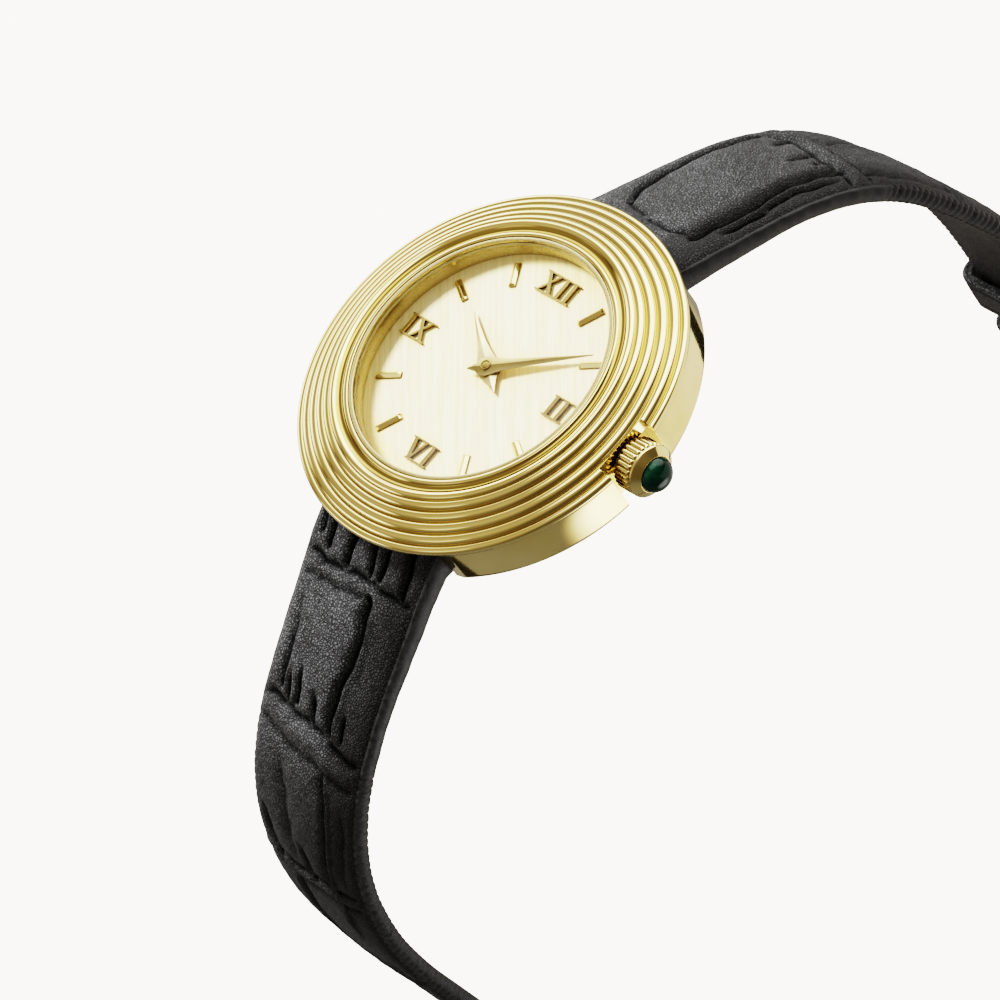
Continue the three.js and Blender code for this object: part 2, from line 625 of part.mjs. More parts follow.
// Lofts the padded section along a path; side is 1 toward 12 o'clock, -1 toward 6.
function strapBody(path, side, halfWidths, thicknesses) {
  const lengths = arcLengths(path);
  const last = path.length - 1;
  const rings = path.map(([y, z], i) => {
    const [y0, z0] = path[Math.max(0, i - 1)];
    const [y1, z1] = path[Math.min(last, i + 1)];
    const span = Math.hypot(y1 - y0, z1 - z0);
    const outward = [-(z1 - z0) / span, (y1 - y0) / span]; // up at the case, off the wrist beyond
    const half = valueAt(lengths[i], halfWidths);
    const thick = valueAt(lengths[i], thicknesses);
    const pad = valueAt(lengths[i], PADDING);
    // [x, height over the outer edge line]
    const section = [
      [-half, 0], [-half + 0.9, pad], [half - 0.9, pad], [half, 0],
      [half, -(thick - 0.25)], [half - 0.3, -thick],
      [-half + 0.3, -thick], [-half, -(thick - 0.25)],
    ];
    return section.map(([x, h]) => [x, side * (y + outward[0] * h), z + outward[1] * h]);
  });
  const [first, end] = [rings[0], rings[last]];
  const count = first.length;
  const triangles = [];
  for (let i = 0; i < last; i++) {
    const [near, far] = [rings[i], rings[i + 1]];
    for (let j = 0; j < count; j++) {
      const k = (j + 1) % count;
      triangles.push([near[j], far[j], far[k]], [near[j], far[k], near[k]]);
    }
  }
  for (let j = 1; j + 1 < count; j++) {
    triangles.push([first[0], first[j], first[j + 1]], [end[0], end[j + 1], end[j]]);
  }
  return faceted(triangles);
}

// Loop end round the spring bar, and the bore for the bar.
const barLoop = (side) => crossRod(1.15, STRAP_HALF_LUG, barAxis(side), 24);
const barBore = (side) => crossRod(0.8, 8, barAxis(side), 20);

// The buckle hangs at the end of the 12 o'clock half.
const BUCKLE_AXIS = [BUCKLE_Y, BUCKLE_Z];
const STRAP_END_Y = BUCKLE_Y + 0.7; // outer edge line of that half's straight end
const buckleBore = () => crossRod(0.58, 8, BUCKLE_AXIS, 16);

function strap12() {
  const buckleLoop = crossRod(1.05, STRAP_HALF_END, BUCKLE_AXIS, 20);
  const filler = box(
    -STRAP_HALF_END, STRAP_HALF_END,
    BUCKLE_Y - 0.7, STRAP_END_Y,
    BUCKLE_Z + 0.2, BUCKLE_Z + 1.7,
  );
  const tangSlot = box(
    -0.85, 0.85,
    BUCKLE_Y - 2.6, BUCKLE_Y + 2.4,
    BUCKLE_Z - 1.9, BUCKLE_Z + 2.2,
  );
  const body = strapBody(PATH_12, 1, HALF_WIDTH_12, THICKNESS_12);
  return cut(join([body, barLoop(1), buckleLoop, filler]), barBore(1), buckleBore(), tangSlot);
}
addPart("strap_12", "leather", strap12());

// Tang holes along the tail, square to the strap.
const TANG_HOLES = { count: 6, first: 61, pitch: 6.2, radius: 0.62 };

function tangHole(distance) {
  const lengths = arcLengths(PATH_6);
  const i = lengths.findIndex((length) => length >= distance);
  const part = (distance - lengths[i - 1]) / (lengths[i] - lengths[i - 1]);
  const [y0, z0] = PATH_6[i - 1];
  const [y1, z1] = PATH_6[i];
  const geometry = new THREE.CylinderGeometry(TANG_HOLES.radius, TANG_HOLES.radius, 6, 12);
  geometry.rotateX(Math.PI / 2);
  geometry.rotateX(-Math.atan2(z1 - z0, y1 - y0));
  return solid(geometry.translate(0, -(y0 + (y1 - y0) * part), z0 + (z1 - z0) * part));
}

function strap6() {
  const { count, first, pitch } = TANG_HOLES;
  const holes = Array.from({ length: count }, (_, i) => tangHole(first + i * pitch));
  const body = strapBody(PATH_6, -1, HALF_WIDTH_6, THICKNESS_6);
  return cut(join([body, barLoop(-1)]), barBore(-1), ...holes);
}
addPart("strap_6", "leather", strap6());

// Keepers: thin leather loops round the 12 o'clock half, one sewn, one loose.
function keeper(z, half, slack) {
  const wristY = STRAP_END_Y - END_THICKNESS - slack;
  return cut(
    box(-half - 0.9, half + 0.9, wristY - 1.0, STRAP_END_Y + 2.7, z - 2, z + 2),
    box(-half - 0.12, half + 0.12, wristY - 0.22, STRAP_END_Y + 1.95, z - 3, z + 3),
  );
}
addPart("keeper_fixed", "leather", keeper(BUCKLE_Z + 6.3, 5.12, 0));
addPart("keeper_free", "leather", keeper(BUCKLE_Z + 13.6, 5.45, 0.15));

// ---- buckle ----
addPart("buckle_bar", "steel", crossRod(0.5, 6.5, BUCKLE_AXIS, 16));

// Quarter arc in four steps, clockwise from a start angle in quarter turns.
function quarterArc(x, y, radius, startQuarter) {
  return Array.from({ length: 5 }, (_, i) => {
    const [dx, dy] = polar(radius, ((startQuarter - i / 4) * Math.PI) / 2);
    return [x + dx, y + dy];
  });
}

// U-shaped frame, open at the top, drawn as [x, height over the bar] and then stood upright.
function buckleFrame() {
  const outerHalf = 6.9;
  const outerBottom = -9.6;
  const outerCorner = 1.6;
  const topCorner = 0.6;
  const innerHalf = 5.7;
  const innerBottom = -7.9;
  const innerCorner = 1.0;
  const bottomCorners = (half, bottom, radius) => [
    ...quarterArc(half - radius, bottom + radius, radius, 0),
    ...quarterArc(-(half - radius), bottom + radius, radius, -1),
  ];
  const outer = [
    ...quarterArc(outerHalf - topCorner, 0.9, topCorner, 1),
    ...bottomCorners(outerHalf, outerBottom, outerCorner),
    ...quarterArc(-(outerHalf - topCorner), 0.9, topCorner, 2),
  ];
  const inner = [
    [innerHalf, 3], [innerHalf, -6.4],
    ...bottomCorners(innerHalf, innerBottom, innerCorner),
    [-innerHalf, 3],
  ];
  const geometry = geometryOf(cut(plate(outer, -0.75, 0.9), plate(inner, -3, 3)));
  geometry.rotateX(Math.PI / 2);
  geometry.translate(0, ...BUCKLE_AXIS);
  return cut(solid(geometry), crossRod(0.54, 6.56, BUCKLE_AXIS, 16));
}
addPart("buckle_frame", "gold", buckleFrame());

// Tang: a barrel round the bar and a flat pin that crosses the frame.
function buckleTang() {
  const half = 0.7;
  const barrel = crossRod(0.95, half, BUCKLE_AXIS, 16);
  const pin = box(-half, half, BUCKLE_Y + 0.8, BUCKLE_Y + 1.15, BUCKLE_Z - 9.5, BUCKLE_Z + 0.2);
  return cut(join([barrel, pin]), buckleBore());
}
addPart("buckle_tang", "gold", buckleTang());

export default root;
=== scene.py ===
"""Gold wristwatch on a black crocodile strap, over a glowing studio floor.

Model frame: metres, +Z out of the dial, +Y toward 12 o'clock, +X toward 3 o'clock and the crown.
Shapes are drawn in millimetres from the centre of the dial top, and to_model() moves them into
the model frame. Shader lengths are metres unless a name ends in _mm.
"""

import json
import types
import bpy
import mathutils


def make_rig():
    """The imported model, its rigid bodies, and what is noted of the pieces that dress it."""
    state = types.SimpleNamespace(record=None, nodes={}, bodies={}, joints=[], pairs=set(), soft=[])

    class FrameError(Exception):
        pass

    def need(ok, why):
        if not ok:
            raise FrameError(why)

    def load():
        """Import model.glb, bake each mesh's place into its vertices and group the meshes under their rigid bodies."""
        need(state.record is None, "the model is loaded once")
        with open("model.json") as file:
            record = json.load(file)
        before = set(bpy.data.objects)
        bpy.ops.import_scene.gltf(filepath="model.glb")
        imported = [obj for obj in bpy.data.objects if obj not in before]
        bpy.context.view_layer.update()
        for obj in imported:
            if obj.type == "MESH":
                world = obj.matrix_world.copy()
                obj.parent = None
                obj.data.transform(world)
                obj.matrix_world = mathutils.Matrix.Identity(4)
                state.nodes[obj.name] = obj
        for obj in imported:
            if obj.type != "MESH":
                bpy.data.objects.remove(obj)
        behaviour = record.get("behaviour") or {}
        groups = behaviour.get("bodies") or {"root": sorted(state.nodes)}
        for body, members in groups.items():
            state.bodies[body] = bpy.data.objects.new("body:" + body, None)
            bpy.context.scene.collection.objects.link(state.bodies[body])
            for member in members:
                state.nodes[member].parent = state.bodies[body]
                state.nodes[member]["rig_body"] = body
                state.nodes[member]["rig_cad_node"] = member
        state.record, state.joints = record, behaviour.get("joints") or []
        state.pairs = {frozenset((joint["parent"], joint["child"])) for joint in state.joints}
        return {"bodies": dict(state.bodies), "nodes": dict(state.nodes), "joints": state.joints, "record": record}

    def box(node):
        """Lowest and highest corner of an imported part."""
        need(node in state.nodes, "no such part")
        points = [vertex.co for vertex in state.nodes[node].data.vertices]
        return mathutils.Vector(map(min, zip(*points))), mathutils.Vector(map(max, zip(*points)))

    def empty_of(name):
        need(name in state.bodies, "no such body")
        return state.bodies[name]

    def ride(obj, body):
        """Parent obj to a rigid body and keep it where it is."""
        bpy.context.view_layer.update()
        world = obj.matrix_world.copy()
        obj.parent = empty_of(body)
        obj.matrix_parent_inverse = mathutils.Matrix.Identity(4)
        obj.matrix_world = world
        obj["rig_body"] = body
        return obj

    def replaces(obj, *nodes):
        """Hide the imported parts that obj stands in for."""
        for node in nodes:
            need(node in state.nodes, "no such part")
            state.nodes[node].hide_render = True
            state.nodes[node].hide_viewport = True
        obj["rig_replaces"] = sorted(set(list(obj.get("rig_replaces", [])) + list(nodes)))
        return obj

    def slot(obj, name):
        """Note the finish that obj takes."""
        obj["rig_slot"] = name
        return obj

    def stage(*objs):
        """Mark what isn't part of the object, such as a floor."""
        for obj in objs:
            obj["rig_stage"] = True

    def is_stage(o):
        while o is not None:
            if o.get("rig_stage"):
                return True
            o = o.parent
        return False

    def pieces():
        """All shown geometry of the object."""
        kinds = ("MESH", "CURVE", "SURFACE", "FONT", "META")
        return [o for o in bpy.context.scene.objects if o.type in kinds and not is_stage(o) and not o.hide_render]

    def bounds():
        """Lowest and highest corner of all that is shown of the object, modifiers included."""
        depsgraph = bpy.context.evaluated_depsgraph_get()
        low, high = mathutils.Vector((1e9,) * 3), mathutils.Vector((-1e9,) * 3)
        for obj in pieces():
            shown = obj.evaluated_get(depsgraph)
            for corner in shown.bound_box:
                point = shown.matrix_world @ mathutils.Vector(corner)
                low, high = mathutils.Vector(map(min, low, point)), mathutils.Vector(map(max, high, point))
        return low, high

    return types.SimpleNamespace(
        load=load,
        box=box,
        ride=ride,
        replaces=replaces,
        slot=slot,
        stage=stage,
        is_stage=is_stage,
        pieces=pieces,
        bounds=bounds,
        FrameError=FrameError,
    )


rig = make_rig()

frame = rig.load()

import json
import math
from contextlib import contextmanager

import bmesh
import bpy
import numpy as np
from mathutils import Matrix, Vector

CAD_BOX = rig.bounds()

# Shared places, mm
DIAL_TOP_Z = 4.7  # dial top above the model origin
SPRING_BAR_Y, SPRING_BAR_Z = 13.0, -2.6
CROWN_Z = -1.7  # axis of crown and stem
buckle_joint = next(j for j in frame["joints"] if j["name"] == "buckle_swing")["pos_m"]
BUCKLE_Y = buckle_joint[1] * 1000.0
BUCKLE_Z = buckle_joint[2] * 1000.0 - DIAL_TOP_Z

# Shared sizes, mm
STRAP_HOLE_RADIUS = 0.8  # spring bar hole through the strap
BUCKLE_HOLE_RADIUS = 0.58  # buckle bar hole through strap and tang
CROWN_NOTCH = 2.45  # half width of the flat cut for the crown


# ------------------------------------------------------------------ mesh helpers
def to_model(points):
    """mm from the dial top to metres in the model frame"""
    moved = np.asarray(points, float) / 1000.0
    moved[..., 2] += DIAL_TOP_Z / 1000.0
    return moved


@contextmanager
def editing(mesh):
    work = bmesh.new()
    work.from_mesh(mesh)
    yield work
    work.to_mesh(mesh)
    work.free()


def new_object(name, verts, faces, materials=(), face_materials=None, weld=False, split=False):
    mesh = bpy.data.meshes.new(name)
    mesh.from_pydata(to_model(verts).tolist(), [], faces)
    for material in materials:
        mesh.materials.append(material)
    if face_materials:
        mesh.polygons.foreach_set("material_index", face_materials)
    mesh.update()
    with editing(mesh) as work:
        if weld:
            bmesh.ops.remove_doubles(work, verts=work.verts, dist=2e-7)
        bmesh.ops.recalc_face_normals(work, faces=work.faces)
        if split:
            ngons = [f for f in work.faces if len(f.verts) > 4]
            bmesh.ops.triangulate(work, faces=ngons, ngon_method="EAR_CLIP")
    obj = bpy.data.objects.new(name, mesh)
    bpy.context.scene.collection.objects.link(obj)
    return obj


def shade(obj, angle):
    """smooth faces, sharp edges above the angle in degrees"""
    mesh = obj.data
    mesh.polygons.foreach_set("use_smooth", [True] * len(mesh.polygons))
    mesh.set_sharp_from_angle(angle=math.radians(angle))
    mesh.update()


def make(name, verts, faces, material, smooth):
    obj = new_object(name, verts, faces, [material], weld=True)
    shade(obj, smooth)
    return obj


def tube_faces(rings, sides, closed=False):
    """quads along a stack of rings; the ends are capped unless the stack closes on itself"""
    faces = []
    for i in range(rings if closed else rings - 1):
        this, other = i * sides, (i + 1) % rings * sides
        for j in range(sides):
            k = (j + 1) % sides
            faces.append((this + j, other + j, other + k, this + k))
    if not closed:
        faces += [tuple(range(sides))[::-1], tuple(range((rings - 1) * sides, rings * sides))]
    return faces


def revolve(profile, segments, point, closed):
    """verts and faces; entries start with a radius, and point(i, *entry) places vertex i.
    A zero radius makes one pole."""
    verts, rows = [], []
    for entry in profile:
        first = len(verts)
        if entry[0] < 1e-6:
            verts.append(point(0, *entry))
            rows.append([first] * segments)
        else:
            verts += [point(i, *entry) for i in range(segments)]
            rows.append(list(range(first, first + segments)))
    faces = []
    for low, high in zip(rows, rows[1:] + (rows[:1] if closed else [])):
        for i in range(segments):
            j = (i + 1) % segments
            face = list(dict.fromkeys((low[i], low[j], high[j], high[i])))
            if len(face) >= 3:
                faces.append(face)
    return verts, faces


def lathe(name, profile, material, segments, closed=True, smooth=35.0, axis_yz=None):
    """turned part from (radius, height); about Z, or along X through axis_yz"""
    def point(i, radius, height):
        angle = 2 * math.pi * i / segments
        x, y = radius * math.cos(angle), radius * math.sin(angle)
        if axis_yz is None:
            return x, y, height
        return height, y + axis_yz[0], axis_yz[1] - x

    return make(name, *revolve(profile, segments, point, closed), material, smooth)


def fillet(corners, steps, closed=True):
    """rounds a 2D outline given as (across, up, corner radius)"""
    points = [np.array(c[:2], float) for c in corners]
    count = len(points)
    out = []
    for i, corner in enumerate(points):
        radius = corners[i][2]
        if radius <= 0 or (not closed and i in (0, count - 1)):
            out.append(tuple(corner))
            continue
        back, ahead = points[i - 1] - corner, points[(i + 1) % count] - corner
        back_length, ahead_length = np.linalg.norm(back), np.linalg.norm(ahead)
        back, ahead = back / back_length, ahead / ahead_length
        angle = math.acos(float(np.clip(back @ ahead, -1, 1)))
        trim = min(radius / math.tan(angle / 2), 0.45 * back_length, 0.45 * ahead_length)
        start, end = corner + back * trim, corner + ahead * trim
        for k in range(steps + 1):
            f = k / steps
            # quadratic through the corner, close to an arc
            out.append(tuple((1 - f) ** 2 * start + 2 * f * (1 - f) * corner + f ** 2 * end))
    return out


def turn(points, angle):
    """points turned about Z, angle in radians"""
    x, y, z = np.array(points).T
    cos, sin = math.cos(angle), math.sin(angle)
    return np.stack([x * cos - y * sin, x * sin + y * cos, z], 1)


def box_cutter(x0, x1, y0, y1, z0, z1):
    verts = [(x, y, z) for x in (x0, x1) for y in (y0, y1) for z in (z0, z1)]
    faces = [(0, 1, 3, 2), (4, 6, 7, 5), (0, 4, 5, 1), (2, 3, 7, 6), (0, 2, 6, 4), (1, 5, 7, 3)]
    return new_object("cut", verts, faces)


def rod_cutter(radius, start, end, sides=32):
    start, end = np.array(start, float), np.array(end, float)
    axis = (end - start) / np.linalg.norm(end - start)
    across = np.cross(axis, [0.3, 0.5, 0.8])  # any direction off the axis
    across /= np.linalg.norm(across)
    up = np.cross(axis, across)
    verts = []
    for centre in (start, end):
        for i in range(sides):
            angle = 2 * math.pi * i / sides
            verts.append(centre + radius * (math.cos(angle) * across + math.sin(angle) * up))
    faces = [tuple(range(sides))[::-1], tuple(range(sides, 2 * sides))]
    for i in range(sides):
        j = (i + 1) % sides
        faces.append((i, j, sides + j, sides + i))
    return new_object("cut", verts, faces)


def cross_rod(radius, y, z, half_length, sides=32):
    """rod cutter along X"""
    return rod_cutter(radius, (-half_length, y, z), (half_length, y, z), sides)


def bake_booleans(obj, cutters, operation, solver):
    for cutter in cutters:
        modifier = obj.modifiers.new("boolean", "BOOLEAN")
        modifier.operation = operation
        modifier.object = cutter
        modifier.solver = solver
    bpy.context.view_layer.update()
    graph = bpy.context.evaluated_depsgraph_get()
    mesh = bpy.data.meshes.new_from_object(obj.evaluated_get(graph), depsgraph=graph)
    obj.modifiers.clear()
    old = obj.data
    obj.data = mesh
    bpy.data.meshes.remove(old)
    for cutter in cutters:
        bpy.data.objects.remove(cutter)


def boolean(obj, cutters, operation="DIFFERENCE", smooth=35.0):
    bake_booleans(obj, cutters, operation, "EXACT")
    with editing(obj.data) as work:
        bmesh.ops.remove_doubles(work, verts=work.verts, dist=4e-7)
        bmesh.ops.dissolve_degenerate(work, dist=3e-7, edges=work.edges)
    while len(obj.data.materials) > 1:
        obj.data.materials.pop()
    shade(obj, smooth)


def cut_strap(obj, cutters):
    """boolean cut that keeps the strap's three materials"""
    for cutter in cutters:
        cutter.data.materials.append(EDGE_PAINT)
    bake_booleans(obj, cutters, "DIFFERENCE", "MANIFOLD")
    with editing(obj.data) as work:
        bmesh.ops.remove_doubles(work, verts=work.verts, dist=4e-7)
    shade(obj, 60)


def assign(obj, body, slot, *nodes):
    """moving body, material slot and the CAD nodes the object stands for"""
    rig.ride(obj, body)
    if nodes:
        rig.replaces(obj, *nodes)
    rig.slot(obj, slot)


# ------------------------------------------------------------------ shader helpers
class Graph:
    """short calls for building a node tree; colours are (red, green, blue)"""

    def __init__(self, tree, output="OutputMaterial"):
        self.tree = tree
        tree.nodes.clear()
        self.output = self.node(output)

    def feed(self, socket, value):
        if isinstance(value, bpy.types.NodeSocket):
            self.tree.links.new(value, socket)
        else:
            socket.default_value = (*value, 1) if socket.type == "RGBA" else value

    def node(self, kind, inputs=None, **settings):
        made = self.tree.nodes.new("ShaderNode" + kind)
        for key, value in settings.items():
            setattr(made, key, value)
        for key, value in (inputs or {}).items():
            self.feed(made.inputs[key], value)
        return made

    def surface(self, shader):
        self.feed(self.output.inputs[0], shader.outputs[0])

    def principled(self, inputs):
        self.surface(self.node("BsdfPrincipled", inputs))

    def position(self):
        return self.node("TexCoord").outputs["Object"]

    def mapping(self, vector, **inputs):
        return self.node("Mapping", {"Vector": vector, **inputs}).outputs["Vector"]

    def coords(self, scale=(1, 1, 1), rotation=(0, 0, 0)):
        return self.mapping(self.position(), Scale=scale, Rotation=rotation)

    def split(self, vector):
        return self.node("SeparateXYZ", {0: vector}).outputs

    def math(self, operation, *values):
        return self.node("Math", dict(enumerate(values)), operation=operation).outputs[0]

    def vector(self, operation, *values):
        return self.node("VectorMath", dict(enumerate(values)), operation=operation).outputs[0]

    def length(self, vector):
        return self.node("VectorMath", {0: vector}, operation="LENGTH").outputs["Value"]

    def brighten(self, colour, factor):
        scaled = self.node("VectorMath", {0: colour, "Scale": factor}, operation="SCALE")
        return scaled.outputs[0]

    def mix(self, factor, first, second, blend="MIX"):
        inputs = {0: factor, 6: first, 7: second}
        return self.node("Mix", inputs, data_type="RGBA", blend_type=blend).outputs[2]

    def mix_value(self, factor, first, second):
        return self.node("Mix", {0: factor, 2: first, 3: second}, data_type="FLOAT").outputs[0]

    def mix_shader(self, factor, first, second):
        inputs = {0: factor, 1: first.outputs[0], 2: second.outputs[0]}
        return self.node("MixShader", inputs)

    def remap(self, value, span, to=(0.0, 1.0), smooth=False):
        return self.node("MapRange", dict(enumerate((value, *span, *to))),
                         interpolation_type="SMOOTHSTEP" if smooth else "LINEAR").outputs[0]

    def noise(self, vector, scale, detail=2.0, roughness=0.5, output="Fac"):
        inputs = {"Scale": scale, "Detail": detail, "Roughness": roughness, "Vector": vector}
        return self.node("TexNoise", inputs).outputs[output]

    def ramp(self, value, stops):
        """stops are (position, colour)"""
        made = self.node("ValToRGB", {0: value})
        elements = made.color_ramp.elements
        while len(elements) > 1:
            elements.remove(elements[0])
        elements[0].position, elements[0].color = stops[0][0], (*stops[0][1], 1)
        for place, colour in stops[1:]:
            elements.new(place).color = (*colour, 1)
        return made.outputs[0]

    def bump(self, height, strength, depth_mm, normal=None):
        inputs = {"Strength": strength, "Distance": depth_mm / 1000.0, "Height": height}
        if normal is not None:
            inputs["Normal"] = normal
        return self.node("Bump", inputs).outputs["Normal"]

    def soft_edge(self, radius_mm):
        return self.node("Bevel", {"Radius": radius_mm / 1000.0}, samples=6).outputs["Normal"]

    def paint_corner_shade(self, colour, reach, dark, span):
        """colour multiplied down inside corners and grooves: painted shade"""
        open_share = self.node("AmbientOcclusion", {"Distance": reach}, samples=6).outputs["AO"]
        hidden = self.math("SUBTRACT", 1.0, self.remap(open_share, span))
        return self.mix(hidden, colour, dark, blend="MULTIPLY")


def new_material(name):
    made = bpy.data.materials.new(name)
    made.use_nodes = True
    return made, Graph(made.node_tree)


def tinted(colour, *factors):
    """colour times one factor, or one factor per channel, held at 1"""
    return tuple(min(1.0, c * k) for c, k in zip(colour, factors * 3))


# ------------------------------------------------------------------ materials
GOLD = (0.86, 0.695, 0.30)
WARM = (1.0, 0.80, 0.50)  # dim parts of the studio as seen in the gold
NEUTRAL = (1.0, 0.99, 0.97)


def gold(name, roughness, tint=GOLD, hairlines=0.35, edge_mm=0.05, side=None, painted_shade_ring_mm=None,
         reach=0.0006):
    """polished plated gold: slight colour drift, hairline scratches, rubbed edges, painted shade in corners.
    side colours upright walls as painted shade; the ring argument gives two radii in mm with painted shade between."""
    material, graph = new_material(name)
    drift = graph.noise(graph.coords(), scale=260.0)
    colour = graph.ramp(drift, [(0.3, tinted(tint, 0.96, 0.94, 0.86)),
                                (0.7, tinted(tint, 1.05, 1.06, 1.16))])
    # painted shade: upright walls take the darker side colour
    if side:
        normal = graph.node("NewGeometry").outputs["True Normal"]
        flatness = graph.math("ABSOLUTE", graph.split(normal)[2])
        colour = graph.mix(graph.remap(flatness, (0.2, 0.5)), side, colour)
    # painted shade: darker ring between the two radii
    if painted_shade_ring_mm:
        flat_mm = graph.vector("MULTIPLY", graph.position(), (1000, 1000, 0))
        radius = graph.length(flat_mm)
        inner, outer = painted_shade_ring_mm
        blur = 0.06
        rise = graph.remap(radius, (inner - blur, inner + blur))
        fall = graph.remap(radius, (outer - blur, outer + blur), to=(1.0, 0.0))
        colour = graph.mix(graph.math("MULTIPLY", rise, fall), colour, (0.50, 0.44, 0.28),
                           blend="MULTIPLY")
    # painted shade in corners and grooves within reach
    colour = graph.paint_corner_shade(colour, reach, dark=(0.40, 0.345, 0.215), span=(0.36, 0.94))
    hair = graph.noise(graph.coords(scale=(1, 7, 1), rotation=(0.2, 0.1, 0.9)),
                       scale=5200.0, detail=3.0, roughness=0.65)
    normal = graph.soft_edge(edge_mm) if edge_mm else None
    graph.principled({
        "Base Color": colour,
        "Metallic": 1.0,
        "Roughness": graph.remap(hair, (0.35, 0.75), to=(roughness * 0.75, roughness * 1.5)),
        "Normal": graph.bump(hair, strength=hairlines * 0.12, depth_mm=0.004, normal=normal),
    })
    return material


def steel(name, colour=(0.60, 0.60, 0.61), roughness=0.28, ring=False, grain=9000.0):
    """brushed metal; ring turns the brushing into circles about Z"""
    material, graph = new_material(name)
    if ring:
        x, y, _ = graph.split(graph.position())
        squares = graph.math("MULTIPLY_ADD", y, y, graph.math("MULTIPLY", x, x))
        vector = graph.node("CombineXYZ", {0: graph.math("SQRT", squares)}).outputs[0]
    else:
        vector = graph.coords(scale=(0.04, 1, 1))
    lines = graph.noise(vector, scale=grain, detail=4.0, roughness=0.6)
    graph.principled({
        "Metallic": 1.0,
        "Base Color": graph.ramp(lines, [(0.3, tinted(colour, 0.88)), (0.7, tinted(colour, 1.08))]),
        "Roughness": graph.remap(lines, (0.3, 0.7), to=(roughness * 0.8, roughness * 1.3)),
        "Normal": graph.bump(lines, strength=0.25, depth_mm=0.006, normal=graph.soft_edge(0.05)),
    })
    return material


def moulded(name, colour, roughness=0.5, grain=2500.0):
    material, graph = new_material(name)
    specks = graph.noise(graph.coords(), scale=grain, detail=4.0, roughness=0.6)
    rough_range = (roughness * 0.85, min(1, roughness * 1.2))
    graph.principled({
        "Base Color": graph.ramp(specks, [(0.25, tinted(colour, 0.85)),
                                          (0.75, tinted(colour, 1.12))]),
        "Roughness": graph.remap(specks, (0.3, 0.7), to=rough_range),
        "Normal": graph.bump(specks, strength=0.2, depth_mm=0.02),
    })
    return material


def dial_material():
    """ivory lacquer over fine straight brushing that runs toward half past ten"""
    material, graph = new_material("dial_ivory_brushed")
    brushing = math.atan2(0.717, -0.697)
    lines = graph.mapping(graph.coords(rotation=(0, 0, -brushing)), Scale=(0.03, 1, 1))
    fine = graph.noise(lines, scale=9500.0, detail=3.0, roughness=0.7)
    coarse = graph.noise(lines, scale=3200.0)
    specks = graph.noise(graph.coords(), scale=7000.0, roughness=0.6)
    mean = graph.math("MULTIPLY", graph.math("ADD", fine, coarse), 0.5)
    relief = graph.math("MULTIPLY_ADD", specks, 0.25, mean)
    lacquer = graph.ramp(relief, [(0.53, (0.85, 0.77, 0.51)), (0.72, (0.985, 0.94, 0.78))])
    graph.principled({
        # painted shade near the walls and the applied figures, tinted as a painted reflection of their gold
        "Base Color": graph.paint_corner_shade(lacquer, reach=0.0016, dark=(0.86, 0.70, 0.36),
                                           span=(0.30, 0.92)),
        "Metallic": 0.12,
        "Roughness": graph.remap(fine, (0.3, 0.7), to=(0.36, 0.5)),
        "Anisotropic": 0.4,
        "Normal": graph.bump(relief, strength=0.5, depth_mm=0.006),
    })
    return material


def crystal_material():
    """clear, with a faint smeared reflection"""
    material, graph = new_material("crystal_clear")
    smear = graph.noise(graph.coords(), scale=420.0, detail=3.0, roughness=0.55)
    glossy = graph.node("BsdfGlossy", {"Roughness": 0.02})  # value without the smear
    graph.feed(glossy.inputs["Roughness"], graph.remap(smear, (0.3, 0.8), to=(0.01, 0.05)))
    clear = graph.node("BsdfTransparent", {"Color": (0.995, 0.998, 0.995)})
    fresnel = graph.node("Fresnel", {"IOR": 1.35}).outputs[0]
    graph.surface(graph.mix_shader(graph.math("MULTIPLY", fresnel, 0.02), clear, glossy))
    return material


def stone_material():
    material, graph = new_material("cabochon_green")
    cloud = graph.noise(graph.coords(), scale=900.0, detail=3.0, roughness=0.6)
    graph.principled({
        "Base Color": graph.ramp(cloud, [(0.3, (0.001, 0.010, 0.005)),
                                         (0.6, (0.002, 0.030, 0.015)),
                                         (0.8, (0.006, 0.060, 0.030))]),
        "Roughness": 0.06,
        "Coat Weight": 0.10,
        "Coat Roughness": 0.03,
        "Specular IOR Level": 0.16,
    })
    return material


